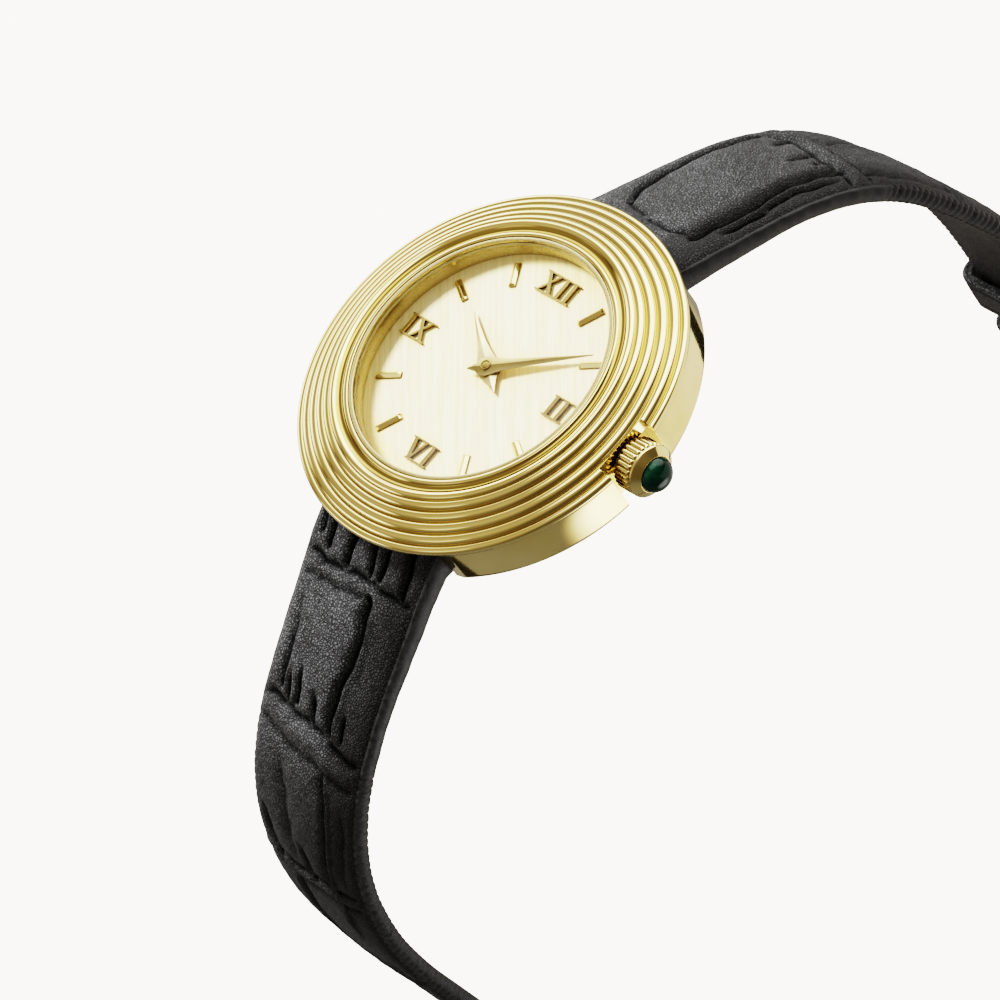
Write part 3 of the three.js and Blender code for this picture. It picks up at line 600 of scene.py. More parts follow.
def leather_material(name, cell_scale, tones):
    """matt calf with pressed grain; tones follow random tone and the grain, lighter on the raised grain as painted
    sheen, with painted shade in the pressed valleys
    """
    material, graph = new_material(name)
    vector = graph.coords()
    warp = graph.noise(vector, scale=1800.0, output="Color")
    warped = graph.vector("MULTIPLY_ADD", warp, (0.00022,) * 3, vector)
    cells = graph.node("TexVoronoi", {"Scale": cell_scale, "Vector": warped},
                       feature="DISTANCE_TO_EDGE").outputs["Distance"]
    fine = graph.noise(vector, scale=6800.0, detail=4.0, roughness=0.72)
    broad = graph.noise(vector, scale=160.0, detail=3.0, roughness=0.6)
    grain = graph.math("MULTIPLY_ADD", graph.remap(cells, (0.0, 0.28)), 0.6, fine)
    # random tone plus the grain; the raised grain turns lighter as painted sheen
    grain_tone_and_sheen = graph.math("MULTIPLY_ADD", broad, 0.35, graph.math("MULTIPLY", grain, 0.5))
    pointiness = graph.node("NewGeometry").outputs["Pointiness"]
    high = graph.remap(pointiness, (0.455, 0.502))  # 0 in the pressed valleys
    # painted shade: near black in the pressed valleys
    colour = graph.mix(high, (0.003, 0.003, 0.003),
                       graph.ramp(grain_tone_and_sheen, list(zip((0.40, 0.57, 0.74), tones))))
    # painted shade in corners and grooves
    colour = graph.paint_corner_shade(colour, reach=0.0011, dark=(0.10, 0.10, 0.10),
                                  span=(0.30, 0.93))
    # painted light and shade across the strap, halved to fit the ramp and doubled after it
    x, _, z = graph.split(graph.position())
    painted_light_levels = ((0.0, 1.20), (0.30, 1.12), (0.42, 1.36), (0.50, 0.66), (0.82, 0.26), (1.0, 0.34))
    tone = graph.ramp(graph.remap(x, (-0.0010, 0.0065)),
                      [(place, (level / 2,) * 3) for place, level in painted_light_levels])
    across = graph.math("MULTIPLY", tone, 2.0)
    # painted shade: darker toward the bottom
    down = graph.remap(z, (-0.0100, -0.0060), to=(0.50, 1.0))
    graph.principled({
        "Base Color": graph.brighten(colour, graph.math("MULTIPLY", across, down)),
        "Roughness": graph.remap(fine, (0.3, 0.75), to=(0.38, 0.58)),
        "Specular IOR Level": graph.remap(high, (0.0, 1.0), to=(0.04, 0.27)),
        "Sheen Roughness": 0.45,
        "Normal": graph.bump(grain, strength=1.0, depth_mm=0.14),
    })
    return material


def edge_paint_material():
    """black edge paint, lighter toward 6 o'clock as painted light"""
    material, graph = new_material("strap_edge_paint")
    specks = graph.noise(graph.coords(), scale=2600.0, detail=4.0, roughness=0.65)
    paint = graph.ramp(specks, [(0.3, (0.006, 0.006, 0.006)), (0.75, (0.019, 0.019, 0.0195))])
    y = graph.split(graph.position())[1]
    graph.principled({
        # painted light: lighter toward 6 o'clock
        "Base Color": graph.brighten(paint, graph.remap(y, (-0.004, 0.002), to=(2.6, 1.0))),
        "Specular IOR Level": 0.25,
        "Roughness": graph.remap(specks, (0.3, 0.7), to=(0.38, 0.6)),
        "Normal": graph.bump(specks, strength=0.5, depth_mm=0.03),
    })
    return material


# painted shade ring in the hollow between the lip and the first ridge
GOLD_BEZEL = gold("gold_bezel", 0.06, painted_shade_ring_mm=(11.38, 12.03))
# wider painted shade, in the crown notch and under the bezel
GOLD_CASE = gold("gold_case", 0.07, hairlines=0.5, reach=0.0022)
# darker tint: painted shade on the dial ring
GOLD_REHAUT = gold("gold_rehaut", 0.27, tint=(0.72, 0.60, 0.30), hairlines=0.5)
# side colours are painted shade on the upright walls of batons, numerals and hands
GOLD_TRIM = gold("gold_trim", 0.12, edge_mm=0.02, side=(0.36, 0.235, 0.07))
# paler tint: painted light on the hands and cap
GOLD_HAND = gold("gold_hands", 0.36, tint=(0.88, 0.74, 0.40), edge_mm=0.0, side=(0.20, 0.12, 0.03))
GOLD_CROWN = gold("gold_crown", 0.09)
GOLD_BUCKLE = gold("gold_buckle", 0.09, hairlines=0.8, edge_mm=0.08)
DIAL = dial_material()
CRYSTAL = crystal_material()
STONE = stone_material()
LEATHER = leather_material("leather_black_crocodile", 4300.0, tones=(
    (0.004, 0.004, 0.0041), (0.021, 0.021, 0.0214), (0.075, 0.075, 0.076)))
LINING = leather_material("leather_lining", 2600.0, tones=(
    (0.020, 0.018, 0.017), (0.036, 0.033, 0.031), (0.06, 0.055, 0.05)))
EDGE_PAINT = edge_paint_material()
STEEL_BACK = steel("steel_case_back", (0.60, 0.60, 0.60), roughness=0.24, ring=True)
STEEL = steel("steel_satin")
BRASS = steel("movement_brass", (0.70, 0.55, 0.27), roughness=0.26)
RUBBER = moulded("gasket_rubber", (0.012, 0.012, 0.012), roughness=0.6)
NYLON = moulded("gasket_nylon", (0.30, 0.235, 0.085), roughness=0.35)
HOLDER = moulded("holder_plastic", (0.72, 0.72, 0.70))
BOARD = moulded("board_laminate", (0.03, 0.16, 0.07), roughness=0.4, grain=3000.0)
CHIP = moulded("chip_epoxy", (0.012, 0.012, 0.014), roughness=0.3)
COPPER = steel("coil_copper", (0.55, 0.24, 0.10), roughness=0.35, grain=14000.0)

# ------------------------------------------------------------------ bezel
# (radius, height) of the inner lip and the hollow beside it
BEZEL_LIP = [
    (10.98, 0.9), (10.98, 1.93), (11.00, 1.975), (11.06, 2.0), (11.20, 2.005), (11.30, 1.995),
    (11.36, 1.95), (11.40, 1.86), (11.50, 1.79), (11.62, 1.76), (11.76, 1.76), (11.88, 1.80),
    (11.97, 1.86), (12.04, 1.93)]
# (radius, height) of the valleys between the round ridges
BEZEL_VALLEYS = [
    (12.10, 1.95), (12.66, 1.70), (13.32, 1.29), (14.06, 0.92), (14.85, 0.52), (15.63, 0.12),
    (16.2, -0.03)]
# (radius, height) of the outer edge and underside
BEZEL_RIM = [
    (16.2, -0.06), (16.225, -0.14), (16.23, -0.25), (16.20, -0.38), (16.12, -0.46), (16.0, -0.5),
    (12.6, -0.5), (12.6, 0.9)]


def ridge_arc(start, end, sag, steps=9):
    """bulging arc over a chord, its last point left out; sag is a share of the chord"""
    start, end = np.array(start), np.array(end)
    chord = np.linalg.norm(end - start)
    along = (end - start) / chord
    outward = np.array([-along[1], along[0]])
    rise = sag * chord
    radius = (chord * chord / 4 + rise * rise) / (2 * rise)
    centre = (start + end) / 2 - outward * (radius - rise)
    first = math.atan2(*(start - centre)[::-1])
    last = math.atan2(*(end - centre)[::-1])
    if last > first:
        last -= 2 * math.pi
    angles = [first + (last - first) * k / steps for k in range(steps)]
    return [tuple(centre + radius * np.array([math.cos(a), math.sin(a)])) for a in angles]


def build_bezel():
    profile = list(BEZEL_LIP)
    sags = [0.28] * (len(BEZEL_VALLEYS) - 2) + [0.24]  # the outermost ridge is flatter
    for start, end, sag in zip(BEZEL_VALLEYS[:-1], BEZEL_VALLEYS[1:], sags):
        profile += ridge_arc(start, end, sag)
    bezel = lathe("bezel_shell", profile + BEZEL_RIM, GOLD_BEZEL, 288, smooth=50)
    boolean(bezel, [box_cutter(15.0, 20, -CROWN_NOTCH, CROWN_NOTCH, -3, 3)], smooth=50)
    assign(bezel, "case", "gold", "bezel")


build_bezel()

# ------------------------------------------------------------------ case middle
# (radius, height, corner radius)
CASE_PROFILE = [
    (10.95, 0.85, 0), (10.95, -0.45, 0), (10.3, -0.45, 0), (10.3, -4.0, 0), (10.55, -4.0, 0),
    (10.55, -3.72, 0), (11.0, -3.72, 0), (11.0, -4.0, 0), (11.5, -4.0, 0), (11.9, -4.36, 0),
    (15.35, -4.36, 0.35), (16.0, -3.92, 0.7), (16.0, -0.53, 0.12), (12.55, -0.53, 0),
    (12.55, 0.85, 0)]
STRAP_SLOT = 6.95  # half width of the opening between the lugs
SCOOP_RADIUS = 9.0  # upright hollows at the lugs
SCOOP_X, SCOOP_NEAR_Y = 8.3, 13.72


def build_case():
    case = lathe("case_band", fillet(CASE_PROFILE, steps=5), GOLD_CASE, 240, smooth=40)
    cutters = [box_cutter(14.1, 20, -CROWN_NOTCH, CROWN_NOTCH, -6, 0.5),
               rod_cutter(0.8, (9, 0, CROWN_Z), (16, 0, CROWN_Z))]
    for end in (1, -1):
        for near, far, top in ((12.62, 20, 0.5), (11.4, 13, -0.8)):
            y0, y1 = sorted((end * near, end * far))
            cutters.append(box_cutter(-STRAP_SLOT, STRAP_SLOT, y0, y1, -6, top))
        cutters.append(cross_rod(0.5, end * SPRING_BAR_Y, SPRING_BAR_Z, 7.75, sides=24))
        for side in (1, -1):
            x, y = side * SCOOP_X, end * (SCOOP_NEAR_Y + SCOOP_RADIUS)
            cutters.append(rod_cutter(SCOOP_RADIUS, (x, y, -6), (x, y, 0.4), sides=96))
    boolean(case, cutters, smooth=40)
    assign(case, "case", "gold", "case_middle")


build_case()

# ------------------------------------------------------------------ case back, rehaut, crystal
# (radius, height, corner radius)
BACK_PROFILE = [
    (0, -4.70, 0), (7.4, -4.70, 0), (7.5, -4.64, 0), (7.7, -4.64, 0), (7.8, -4.70, 0),
    (10.75, -4.70, 0.12), (11.2, -4.42, 0.15), (11.2, -4.03, 0.06), (10.27, -4.03, 0),
    (10.27, -3.56, 0), (9.5, -3.56, 0), (9.5, -3.95, 0), (0, -3.95, 0)]
REHAUT_PROFILE = [
    (10.6, 0.03, 0), (10.6, 1.33, 0), (10.78, 1.33, 0), (10.78, 1.67, 0), (10.6, 1.67, 0),
    (10.6, 1.94, 0.05), (10.93, 1.94, 0.05), (10.93, 0.03, 0)]
# (radius, height)
CRYSTAL_PROFILE = [
    (0, 1.15), (10.36, 1.15), (10.49, 1.22), (10.49, 1.90), (10.46, 1.95), (10.38, 1.985),
    (10.26, 2.0), (6, 2.0), (0, 2.0)]
DIAL_PROFILE = [
    (0.9, -0.4), (10.80, -0.4), (10.85, -0.36), (10.85, -0.03), (10.82, 0.0), (0.94, 0.0),
    (0.9, -0.03)]

case_back = lathe("case_back_disc", fillet(BACK_PROFILE, steps=4, closed=False), STEEL_BACK, 160,
                  closed=False)
boolean(case_back, [box_cutter(-1.3, 1.3, -12, -10.9, -4.25, -4.0)])  # notch at 6 o'clock
assign(case_back, "case", "steel", "case_back")
rehaut = lathe("dial_ring", fillet(REHAUT_PROFILE, steps=3), GOLD_REHAUT, 192)
assign(rehaut, "case", "gold", "rehaut_ring")
crystal = lathe("crystal_disc", CRYSTAL_PROFILE, CRYSTAL, 144, closed=False)
assign(crystal, "case", "crystal", "crystal")

# ------------------------------------------------------------------ dial and batons
dial = lathe("dial_plate", DIAL_PROFILE, DIAL, 144)
assign(dial, "case", "dial_ivory", "dial")

BATON_CENTRE = 8.69  # from the dial centre
BATON_LENGTH, BATON_WIDTH = 1.1, 0.28  # halves
BATON_WALL = 0.17  # height of the upright sides
# (distance from the middle, roof height) from one end inward
BATON_STATIONS = [(BATON_LENGTH, 0.13), (BATON_LENGTH - 0.03, 0.17), (BATON_LENGTH - 0.20, 0.345),
                  (0.3, 0.35)]


def build_baton(hour):
    """bar with bevelled roof and sloped ends"""
    stations = [(-x, top) for x, top in BATON_STATIONS] + BATON_STATIONS[::-1]
    verts = []
    for x, top in stations:
        width = BATON_WIDTH if abs(x) < BATON_LENGTH - 0.01 else BATON_WIDTH - 0.02
        wall = min(top, BATON_WALL)
        shoulder = wall if top < 0.2 else wall + 0.008
        section = [(-width, 0.02), (width, 0.02), (width, wall - 0.02), (width - 0.03, shoulder),
                   (0.035, top), (-0.035, top), (-width + 0.03, shoulder), (-width, wall - 0.02)]
        verts += [(x, y, z) for y, z in section]
    angle = math.pi / 2 - hour * math.pi / 6
    centre = (BATON_CENTRE * math.cos(angle), BATON_CENTRE * math.sin(angle), 0)
    obj = make(f"baton_{hour}", turn(verts, angle) + centre, tube_faces(len(stations), 8),
               GOLD_TRIM, smooth=18)
    assign(obj, "case", "gold_trim", f"hour_marker_{hour}")


for hour in (1, 2, 4, 5, 7, 8, 10, 11):
    build_baton(hour)


# ------------------------------------------------------------------ hands
def build_hand(name, length, tail, half, bottom, edge, top, degrees, body, cad_node):
    """ridged leaf blade, turned clockwise from 12; half is its greatest half width"""
    outline = [(-tail, 0.05), (-tail * 0.55, half * 0.42), (-0.62, half * 0.84), (0, half),
               (0.7, half * 0.82), (1.6, half * 0.58), (length * 0.45, half * 0.37),
               (length * 0.75, half * 0.19), (length, 0.045)]
    stations = np.unique(np.concatenate([np.linspace(-tail, length, 90), [0.0]]))
    verts = []
    for y in stations:
        width = float(interp(y, outline))
        ridge = edge + (top - edge) * min(1.0, width / 0.22)
        section = [(-width + 0.015, bottom), (width - 0.015, bottom), (width, bottom + 0.02),
                   (width, edge - 0.015), (width - 0.012, edge), (0.0, ridge),
                   (-width + 0.012, edge), (-width, edge - 0.015), (-width, bottom + 0.02)]
        verts += [(x, y, z) for x, z in section]
    obj = make(name, turn(verts, math.radians(-degrees)), tube_faces(len(stations), 9),
               GOLD_HAND, smooth=12)
    assign(obj, body, "gold_trim", cad_node)


def interp(value, stops):
    """linear between (position, value) stops"""
    places, values = zip(*stops)
    return np.interp(value, places, values)


build_hand("hour_hand_blade", length=5.85, tail=2.5, half=0.95, bottom=0.34, edge=0.42, top=0.56,
           degrees=304.7, body="hour_assembly", cad_node="hour_hand")
build_hand("minute_hand_blade", length=8.9, tail=1.65, half=0.88, bottom=0.60, edge=0.66, top=0.80,
           degrees=56.5, body="minute_arbor", cad_node="minute_hand")
# (radius, height): a ring around a low centre boss
CAP_PROFILE = [
    (0, 0.58), (0.40, 0.58), (0.41, 0.60), (0.41, 0.86), (0.395, 0.89), (0.37, 0.90),
    (0.345, 0.89), (0.335, 0.80), (0.285, 0.80), (0.275, 0.87), (0.24, 0.885), (0, 0.89)]
cap = lathe("hand_cap", CAP_PROFILE, GOLD_HAND, 64, closed=False, smooth=25)
assign(cap, "minute_arbor", "gold_trim")

# ------------------------------------------------------------------ crown
RIBS, RIB_STEPS = 28, 12
FLUTE_DEPTH = 0.17
CROWN_GROWTH = 1.06  # scales the radii of CROWN_HEAD
# (x, radius) of the bore and collar on the case side
CROWN_COLLAR = [
    (15.95, 0.0), (15.95, 0.93), (14.22, 0.95), (14.2, 0.98), (14.2, 1.12), (14.23, 1.15),
    (15.0, 1.15), (15.04, 1.2), (15.05, 1.5)]
# (x, radius, share of the flute depth) of the ribbed head, its rim and the stone's seat
CROWN_HEAD = [
    (15.06, 1.62, 0), (15.10, 1.74, 0), (15.16, 1.83, 0.35), (15.24, 1.93, 0.8),
    (15.32, 1.99, 1.0), (15.6, 2.0, 1.0), (16.0, 2.0, 1.0), (16.4, 2.0, 1.0), (16.58, 1.99, 1.0),
    (16.66, 1.95, 0.8), (16.72, 1.88, 0.3), (16.76, 1.82, 0.0), (16.80, 1.80, 0), (16.84, 1.81, 0),
    (16.88, 1.90, 0), (16.93, 1.96, 0), (17.0, 1.985, 0), (17.06, 1.975, 0), (17.11, 1.93, 0),
    (17.20, 1.84, 0), (17.50, 1.50, 0), (17.58, 1.42, 0), (17.61, 1.385, 0), (17.60, 1.355, 0),
    (17.54, 1.345, 0), (17.3, 1.34, 0), (17.3, 0.6, 0)]
STONE_X, STONE_RADIUS, STONE_HEIGHT = 17.60, 1.39, 1.12


def build_crown():
    segments = RIBS * RIB_STEPS

    def point(i, radius, x, flute):
        angle = 2 * math.pi * i / segments
        # rounded ribs with narrow valleys
        rib = abs(math.sin(math.pi * ((i % RIB_STEPS) / RIB_STEPS))) ** 0.6
        reach = radius - flute * FLUTE_DEPTH * (1 - rib)
        return x, reach * math.cos(angle), reach * math.sin(angle) + CROWN_Z

    rings = [(radius, x, 0) for x, radius in CROWN_COLLAR]
    rings += [(radius * CROWN_GROWTH, x, flute) for x, radius, flute in CROWN_HEAD]
    rings.append((0, CROWN_HEAD[-1][0], 0))
    crown = make("crown_fluted", *revolve(rings, segments, point, closed=False), GOLD_CROWN,
                 smooth=45)
    assign(crown, "crown_and_stem", "gold", "crown")


def build_stone():
    """domed cabochon in the end of the crown"""
    profile = [(0, 17.33), (1.36, 17.33), (1.38, 17.36), (STONE_RADIUS, STONE_X)]
    steps = 14
    for k in range(1, steps + 1):
        angle = math.pi / 2 * k / steps
        radius = STONE_RADIUS * math.cos(angle) if k < steps else 0.0
        profile.append((radius, STONE_X + STONE_HEIGHT * math.sin(angle)))
    stone = lathe("cabochon", profile, STONE, 96, closed=False, smooth=60, axis_yz=(0, CROWN_Z))
    assign(stone, "crown_and_stem", "cabochon", "crown_stone")


build_crown()
build_stone()

# ------------------------------------------------------------------ strap tables
# (distance from the dial centre along Y, height) of the strap's top line
PATH_12 = [
    (13.0, -1.45), (14.6, -1.85), (16.4, -2.75), (18.22, -3.71), (19.98, -4.69), (21.72, -5.65),
    (23.47, -6.61), (25.2, -7.62), (26.89, -8.68), (28.53, -9.84), (30.09, -11.1), (31.54, -12.47),
    (32.87, -13.95), (34.07, -15.54), (35.16, -17.21), (36.13, -18.96), (37.82, -22.6),
    (39.32, -26.31), (40.7, -30.04), (41.5, -33.0), (42.0, -36.5), (42.2, -40.5), (42.2, -45.0),
    (42.2, -50.0), (42.2, -55.5), (42.33, -57.4), (42.52, -59.2)]
PATH_6 = [
    (13.0, -1.45), (14.0, -1.75), (15.4, -2.45), (17.23, -3.44), (18.91, -4.55), (20.58, -5.62),
    (22.26, -6.68), (23.94, -7.76), (25.6, -8.87), (27.22, -10.05), (28.78, -11.31),
    (30.24, -12.68), (31.58, -14.15), (32.77, -15.74), (33.8, -17.44), (34.66, -19.24),
    (35.35, -21.12), (35.86, -23.06), (36.3, -25.9), (36.5, -29.04), (36.32, -33.0), (35.9, -37.0),
    (35.1, -42.5), (34.4, -48.0), (34.2, -54.0), (35.1, -60.0), (37.4, -65.4), (41.2, -69.5),
    (46.2, -72.0), (52.0, -73.0), (58.0, -73.2), (62.0, -73.2), (64.2, -73.2), (66.6, -73.2)]

# (distance along the strap, half width / thickness / padding / share of the scale relief)
WIDTH_NEAR_CASE = [(0, 6.75), (3, 6.7), (14, 6.42), (25, 6.37), (35, 6.17), (45, 5.8)]
WIDTH_12 = WIDTH_NEAR_CASE + [(56, 5.1), (66, 5.0)]
WIDTH_6 = WIDTH_NEAR_CASE + [(62, 5.0)]
THICKNESS_12 = [(0, 2.75), (0.8, 2.9), (1.5, 2.75), (2.6, 2.1), (6, 1.9), (14, 1.55), (67, 1.5),
                (70, 1.75), (72.0, 2.1)]
THICKNESS_6 = [(0, 2.75), (0.8, 2.9), (1.5, 2.75), (2.6, 2.1), (6, 1.95), (14, 1.6), (60, 1.5),
               (200, 1.45)]
PADDING_12 = [(0, 0.05), (3, 0.22), (9, 0.48), (40, 0.38), (54, 0.10), (60, 0.03), (200, 0.0)]
PADDING_6 = [(0, 0.05), (3, 0.22), (9, 0.45), (40, 0.36), (60, 0.12), (75, 0.02), (200, 0.0)]
RELIEF_SHARE_12 = [(0, 1), (50, 1), (60, 0.4), (200, 0.15)]
RELIEF_SHARE_6 = [(0, 1), (52, 1), (62, 0.45), (76, 0.22), (200, 0.18)]
NOSE_START, NOSE_LENGTH = 97.5, 9.9  # where the 6 o'clock half narrows to its tip
HOLES = [61.2 + 6.2 * i for i in range(6)]  # buckle holes along the 6 o'clock half

# Pressed scales: (depth or height, width, fade, [(across, along) points]).
# A positive fade tapers both ends of the line, a negative one only its start.
VALLEYS_6 = [
    (0.34, 0.38, 0, [(-6.8, 5.1), (-5.6, 5.6), (-3.8, 5.9), (-1.7, 5.5), (0, 5.4), (2, 5.5),
                     (4.6, 5.5), (6.8, 5.8)]),
    (0.14, 0.42, 0, [(-5.1, 7.5), (-2.6, 7.1), (-0.1, 6.9), (1.8, 6.9)]),
    (0.26, 0.30, -0.9, [(-5.3, 7.6), (-4.7, 9.5), (-4.4, 11.5), (-4.25, 13.2), (-4.1, 16.3)]),
    (0.58, 0.46, 0, [(1.9, 6.9), (2.2, 8.7), (2.25, 10.3), (2.1, 12.2), (1.9, 14.6), (1.8, 16.7),
                     (1.9, 17.8)]),
    (0.44, 0.30, -0.55, [(-2.3, 13.6), (-2.15, 15.2), (-2.1, 16.9)]),
    (0.36, 0.26, -0.55, [(-3.35, 14.5), (-3.25, 15.6), (-3.2, 17.0)]),
    (0.42, 0.30, -0.55, [(-0.45, 15.0), (-0.1, 16.2), (0.1, 17.5)]),
    (0.26, 0.18, 0.3, [(3.5, 15.3), (3.35, 16.8), (3.45, 18.4)]),
    (0.34, 0.40, 0, [(-6.8, 17.7), (-5.2, 17.4), (-2.9, 17.3), (-0.3, 17.7), (2.1, 18.2),
                     (4.2, 18.8), (6.8, 19.1)]),
    (0.20, 0.48, 0, [(-6.8, 19.4), (-4.9, 19.6), (-2.8, 19.9), (-0.5, 20.4), (2.2, 20.9),
                     (6.8, 21.3)]),
    (0.26, 0.40, 0, [(2.3, 20.9), (2.75, 23.5), (2.85, 27.3), (2.3, 31.2)]),
    (0.20, 0.62, 0.25, [(-2.5, 21.0), (-2.2, 23.5), (-1.7, 26.0), (-1.0, 31.1)]),
    (0.34, 0.34, -0.5, [(-4.6, 26.6), (-4.2, 29.0), (-3.6, 31.6)]),
    (0.28, 0.32, -0.5, [(-0.5, 28.2), (0.1, 30.0), (0.4, 31.9)]),
    (0.14, 0.5, 0.3, [(4.7, 22.5), (4.9, 26.0), (4.6, 30.5)]),
]
# Short scales beside the case: (start across, end across, end along, depth, width)
VALLEYS_6 += [(depth, width, 0, [(x0, -0.5), (x0, 2.4), (x1, end)]) for x0, x1, end, depth, width in [
    (-5.5, -5.3, 3.9, 0.26, 0.25), (-4.5, -4.0, 4.7, 0.42, 0.30), (-1.8, -1.7, 5.1, 0.50, 0.36),
    (0.5, 1.0, 5.0, 0.42, 0.26), (1.9, 2.1, 5.1, 0.48, 0.30), (4.4, 4.8, 5.3, 0.44, 0.34)]]
WELTS_6 = [
    (0.03, 0.40, 0.12, [(-5.4, 6.6), (-2, 6.3), (2, 6.2), (5.5, 6.5)]),
    (0.16, 0.26, 0.12, [(2.75, 7.2), (3.05, 10.9), (2.8, 14.0), (2.6, 16.3), (2.5, 18.2)]),
    (0.10, 0.42, 0.12, [(-5.8, 18.5), (-5.0, 18.4), (-3.1, 18.5), (-0.3, 19.0), (3.0, 19.7),
                        (5.8, 20.0)]),
    (0.20, 0.22, 0.12, [(2.85, 20.9), (3.3, 23.5), (3.4, 27.3), (2.9, 31.2), (3.2, 33.5),
                        (3.4, 38.0)]),
]
VALLEYS_12 = [
    (0.34, 0.32, 0, [(-3.4, 5.6), (-4.3, 8.0), (-4.8, 10.7), (-4.9, 14.1), (-5.0, 17.4),
                     (-4.7, 21.0)]),
    (0.26, 0.42, 0, [(-3.4, 5.6), (-1.7, 5.1), (0.5, 5.0), (2.3, 5.2), (3.8, 5.6)]),
    (0.56, 0.50, 0, [(3.8, 5.5), (3.95, 8.9), (3.75, 12.4), (3.3, 15.6), (3.35, 18.9),
                     (3.7, 21.2)]),
    (0.36, 0.28, 0.2, [(5.2, 7.0), (5.1, 9.0), (4.95, 11.6), (4.5, 15.5), (4.9, 20.4)]),
    (0.34, 0.38, 0, [(-6.8, 20.5), (-4.7, 21.1), (-2.7, 21.8), (0.1, 21.7), (3.7, 21.1),
                     (6.8, 20.7)]),
    (0.22, 0.45, 0, [(-6.8, 23.2), (-2.5, 24.1), (0.8, 23.9), (6.8, 23.0)]),
    (0.30, 0.26, -0.5, [(-2.2, 19.4), (-2.4, 20.4), (-2.45, 21.5)]),
    (0.38, 0.28, -0.5, [(0.3, 18.2), (0.45, 19.6), (0.5, 21.2)]),
    (0.20, 0.24, -0.5, [(1.9, 19.6), (2.0, 21.0)]),
    (0.24, 0.42, 0.15, [(-1.4, 24.2), (-2.1, 27.0), (-2.8, 31.0), (-3.0, 33.4)]),
    (0.34, 0.45, 0, [(4.2, 23.2), (4.6, 26.0), (4.7, 30.0), (4.3, 34.0)]),
    (0.24, 0.30, -0.5, [(1.4, 30.0), (1.6, 32.0), (1.7, 34.0)]),
]
WELTS_12 = [
    (0.10, 0.24, 0.12, [(4.55, 7.8), (4.45, 11.6), (3.95, 15.6), (4.1, 19.6)]),
    (0.20, 0.48, 0.12, [(-5.8, 22.2), (-2.5, 22.9), (0.8, 22.7), (5.8, 21.9)]),
    (0.14, 0.28, 0.12, [(-0.8, 24.6), (-1.5, 27.0), (-2.2, 31.0)]),
]
# Scale boundaries farther along, and the lines over one boundary: along offsets at ROW_X
ROWS_6 = [31.9, 44.6, 57.0, 69.4, 81.6, 93.4]
ROWS_12 = [34.6, 46.6]
ROW_X = (-6.8, -3.7, -1.2, 1.9, 6.8)
ROW_VALLEY_BEFORE = (-1.6, -0.9, -0.3, -0.2, -0.4)
ROW_WELT = (-0.8, -0.15, 0.4, 0.5, 0.3)
ROW_VALLEY_AFTER = (0.1, 0.7, 1.2, 1.3, 1.1)


# ------------------------------------------------------------------ strap surface
def smooth_path(stations, step=0.2):
    """resampled Catmull-Rom curve: positions, arc length, unit tangents"""
    points = np.array(stations, float)
    padded = np.vstack([2 * points[0] - points[1], points, 2 * points[-1] - points[-2]])
    dense = []
    for i in range(1, len(padded) - 2):
        p0, p1, p2, p3 = padded[i - 1:i + 3]
        for k in range(40):
            t = k / 40.0
            dense.append(0.5 * ((2 * p1) + (-p0 + p2) * t + (2 * p0 - 5 * p1 + 4 * p2 - p3) * t * t
                                + (-p0 + 3 * p1 - 3 * p2 + p3) * t ** 3))
    dense = np.array(dense + [points[-1]])
    lengths = np.linalg.norm(np.diff(dense, axis=0), axis=1)
    travelled = np.concatenate([[0], np.cumsum(lengths)])
    along = np.linspace(0, travelled[-1], int(round(travelled[-1] / step)) + 1)
    path = np.stack([np.interp(along, travelled, dense[:, axis]) for axis in (0, 1)], 1)
    for _ in range(12):  # light smoothing that keeps the ends
        path[1:-1] = (path[:-2] + 2 * path[1:-1] + path[2:]) / 4
    tangents = np.gradient(path, axis=0)
    tangents /= np.linalg.norm(tangents, axis=1)[:, None]
    return path, along, tangents


def add_rows(valleys, welts, rows, seed, flip):
    """raised line between two shallow valleys, then a big scale and a narrow column"""
    rng = np.random.RandomState(seed)

    def across(row, offsets):
        return [(x, row + offset) for x, offset in zip(ROW_X, offsets)]

    for k, row in enumerate(rows):
        valleys.append((0.16, 0.36, 0, across(row, ROW_VALLEY_BEFORE)))
        welts.append((0.13, 0.34, 0, across(row, ROW_WELT)))
        valleys.append((0.15, 0.40, 0, across(row, ROW_VALLEY_AFTER)))
        end = rows[k + 1] - 0.6 if k + 1 < len(rows) else row + 11
        side = 1 if (k + flip) % 2 else -1
        valleys.append((0.34, 0.40, 0, [(side * 2.0, row + 1.5), (side * 2.2, row + 5),
                                        (side * 1.7, end)]))
        welts.append((0.12, 0.26, 0.12, [(side * 2.6, row + 2.0), (side * 2.8, row + 5),
                                         (side * 2.3, end - 0.6)]))
        for x in (-3.4, -2.1, -0.6):
            length = 2.2 + 1.2 * rng.rand()
            valleys.append((0.28, 0.28, -0.5, [(side * x, end - length), (side * x + 0.2, end)]))


def nearest(x, along, points):
    """distance of grid points to a polyline, and the share of the line reached"""
    best = np.full_like(x, 1e9)
    share = np.zeros_like(x)
    count = len(points) - 1
    for i in range(count):
        (x0, y0), (x1, y1) = points[i:i + 2]
        run_x, run_y = x1 - x0, y1 - y0
        squared = max(run_x * run_x + run_y * run_y, 1e-9)
        t = np.clip(((x - x0) * run_x + (along - y0) * run_y) / squared, 0, 1)
        distance = np.hypot(x - x0 - t * run_x, along - y0 - t * run_y)
        closer = distance < best
        best = np.where(closer, distance, best)
        share = np.where(closer, (i + t) / count, share)
    return best, share


def taper(share, fade):
    if fade > 0:
        return np.clip(np.minimum(share, 1 - share) / fade, 0, 1) ** 0.6
    if fade < 0:
        return np.clip(share / -fade, 0, 1) ** 0.8
    return np.ones_like(share)


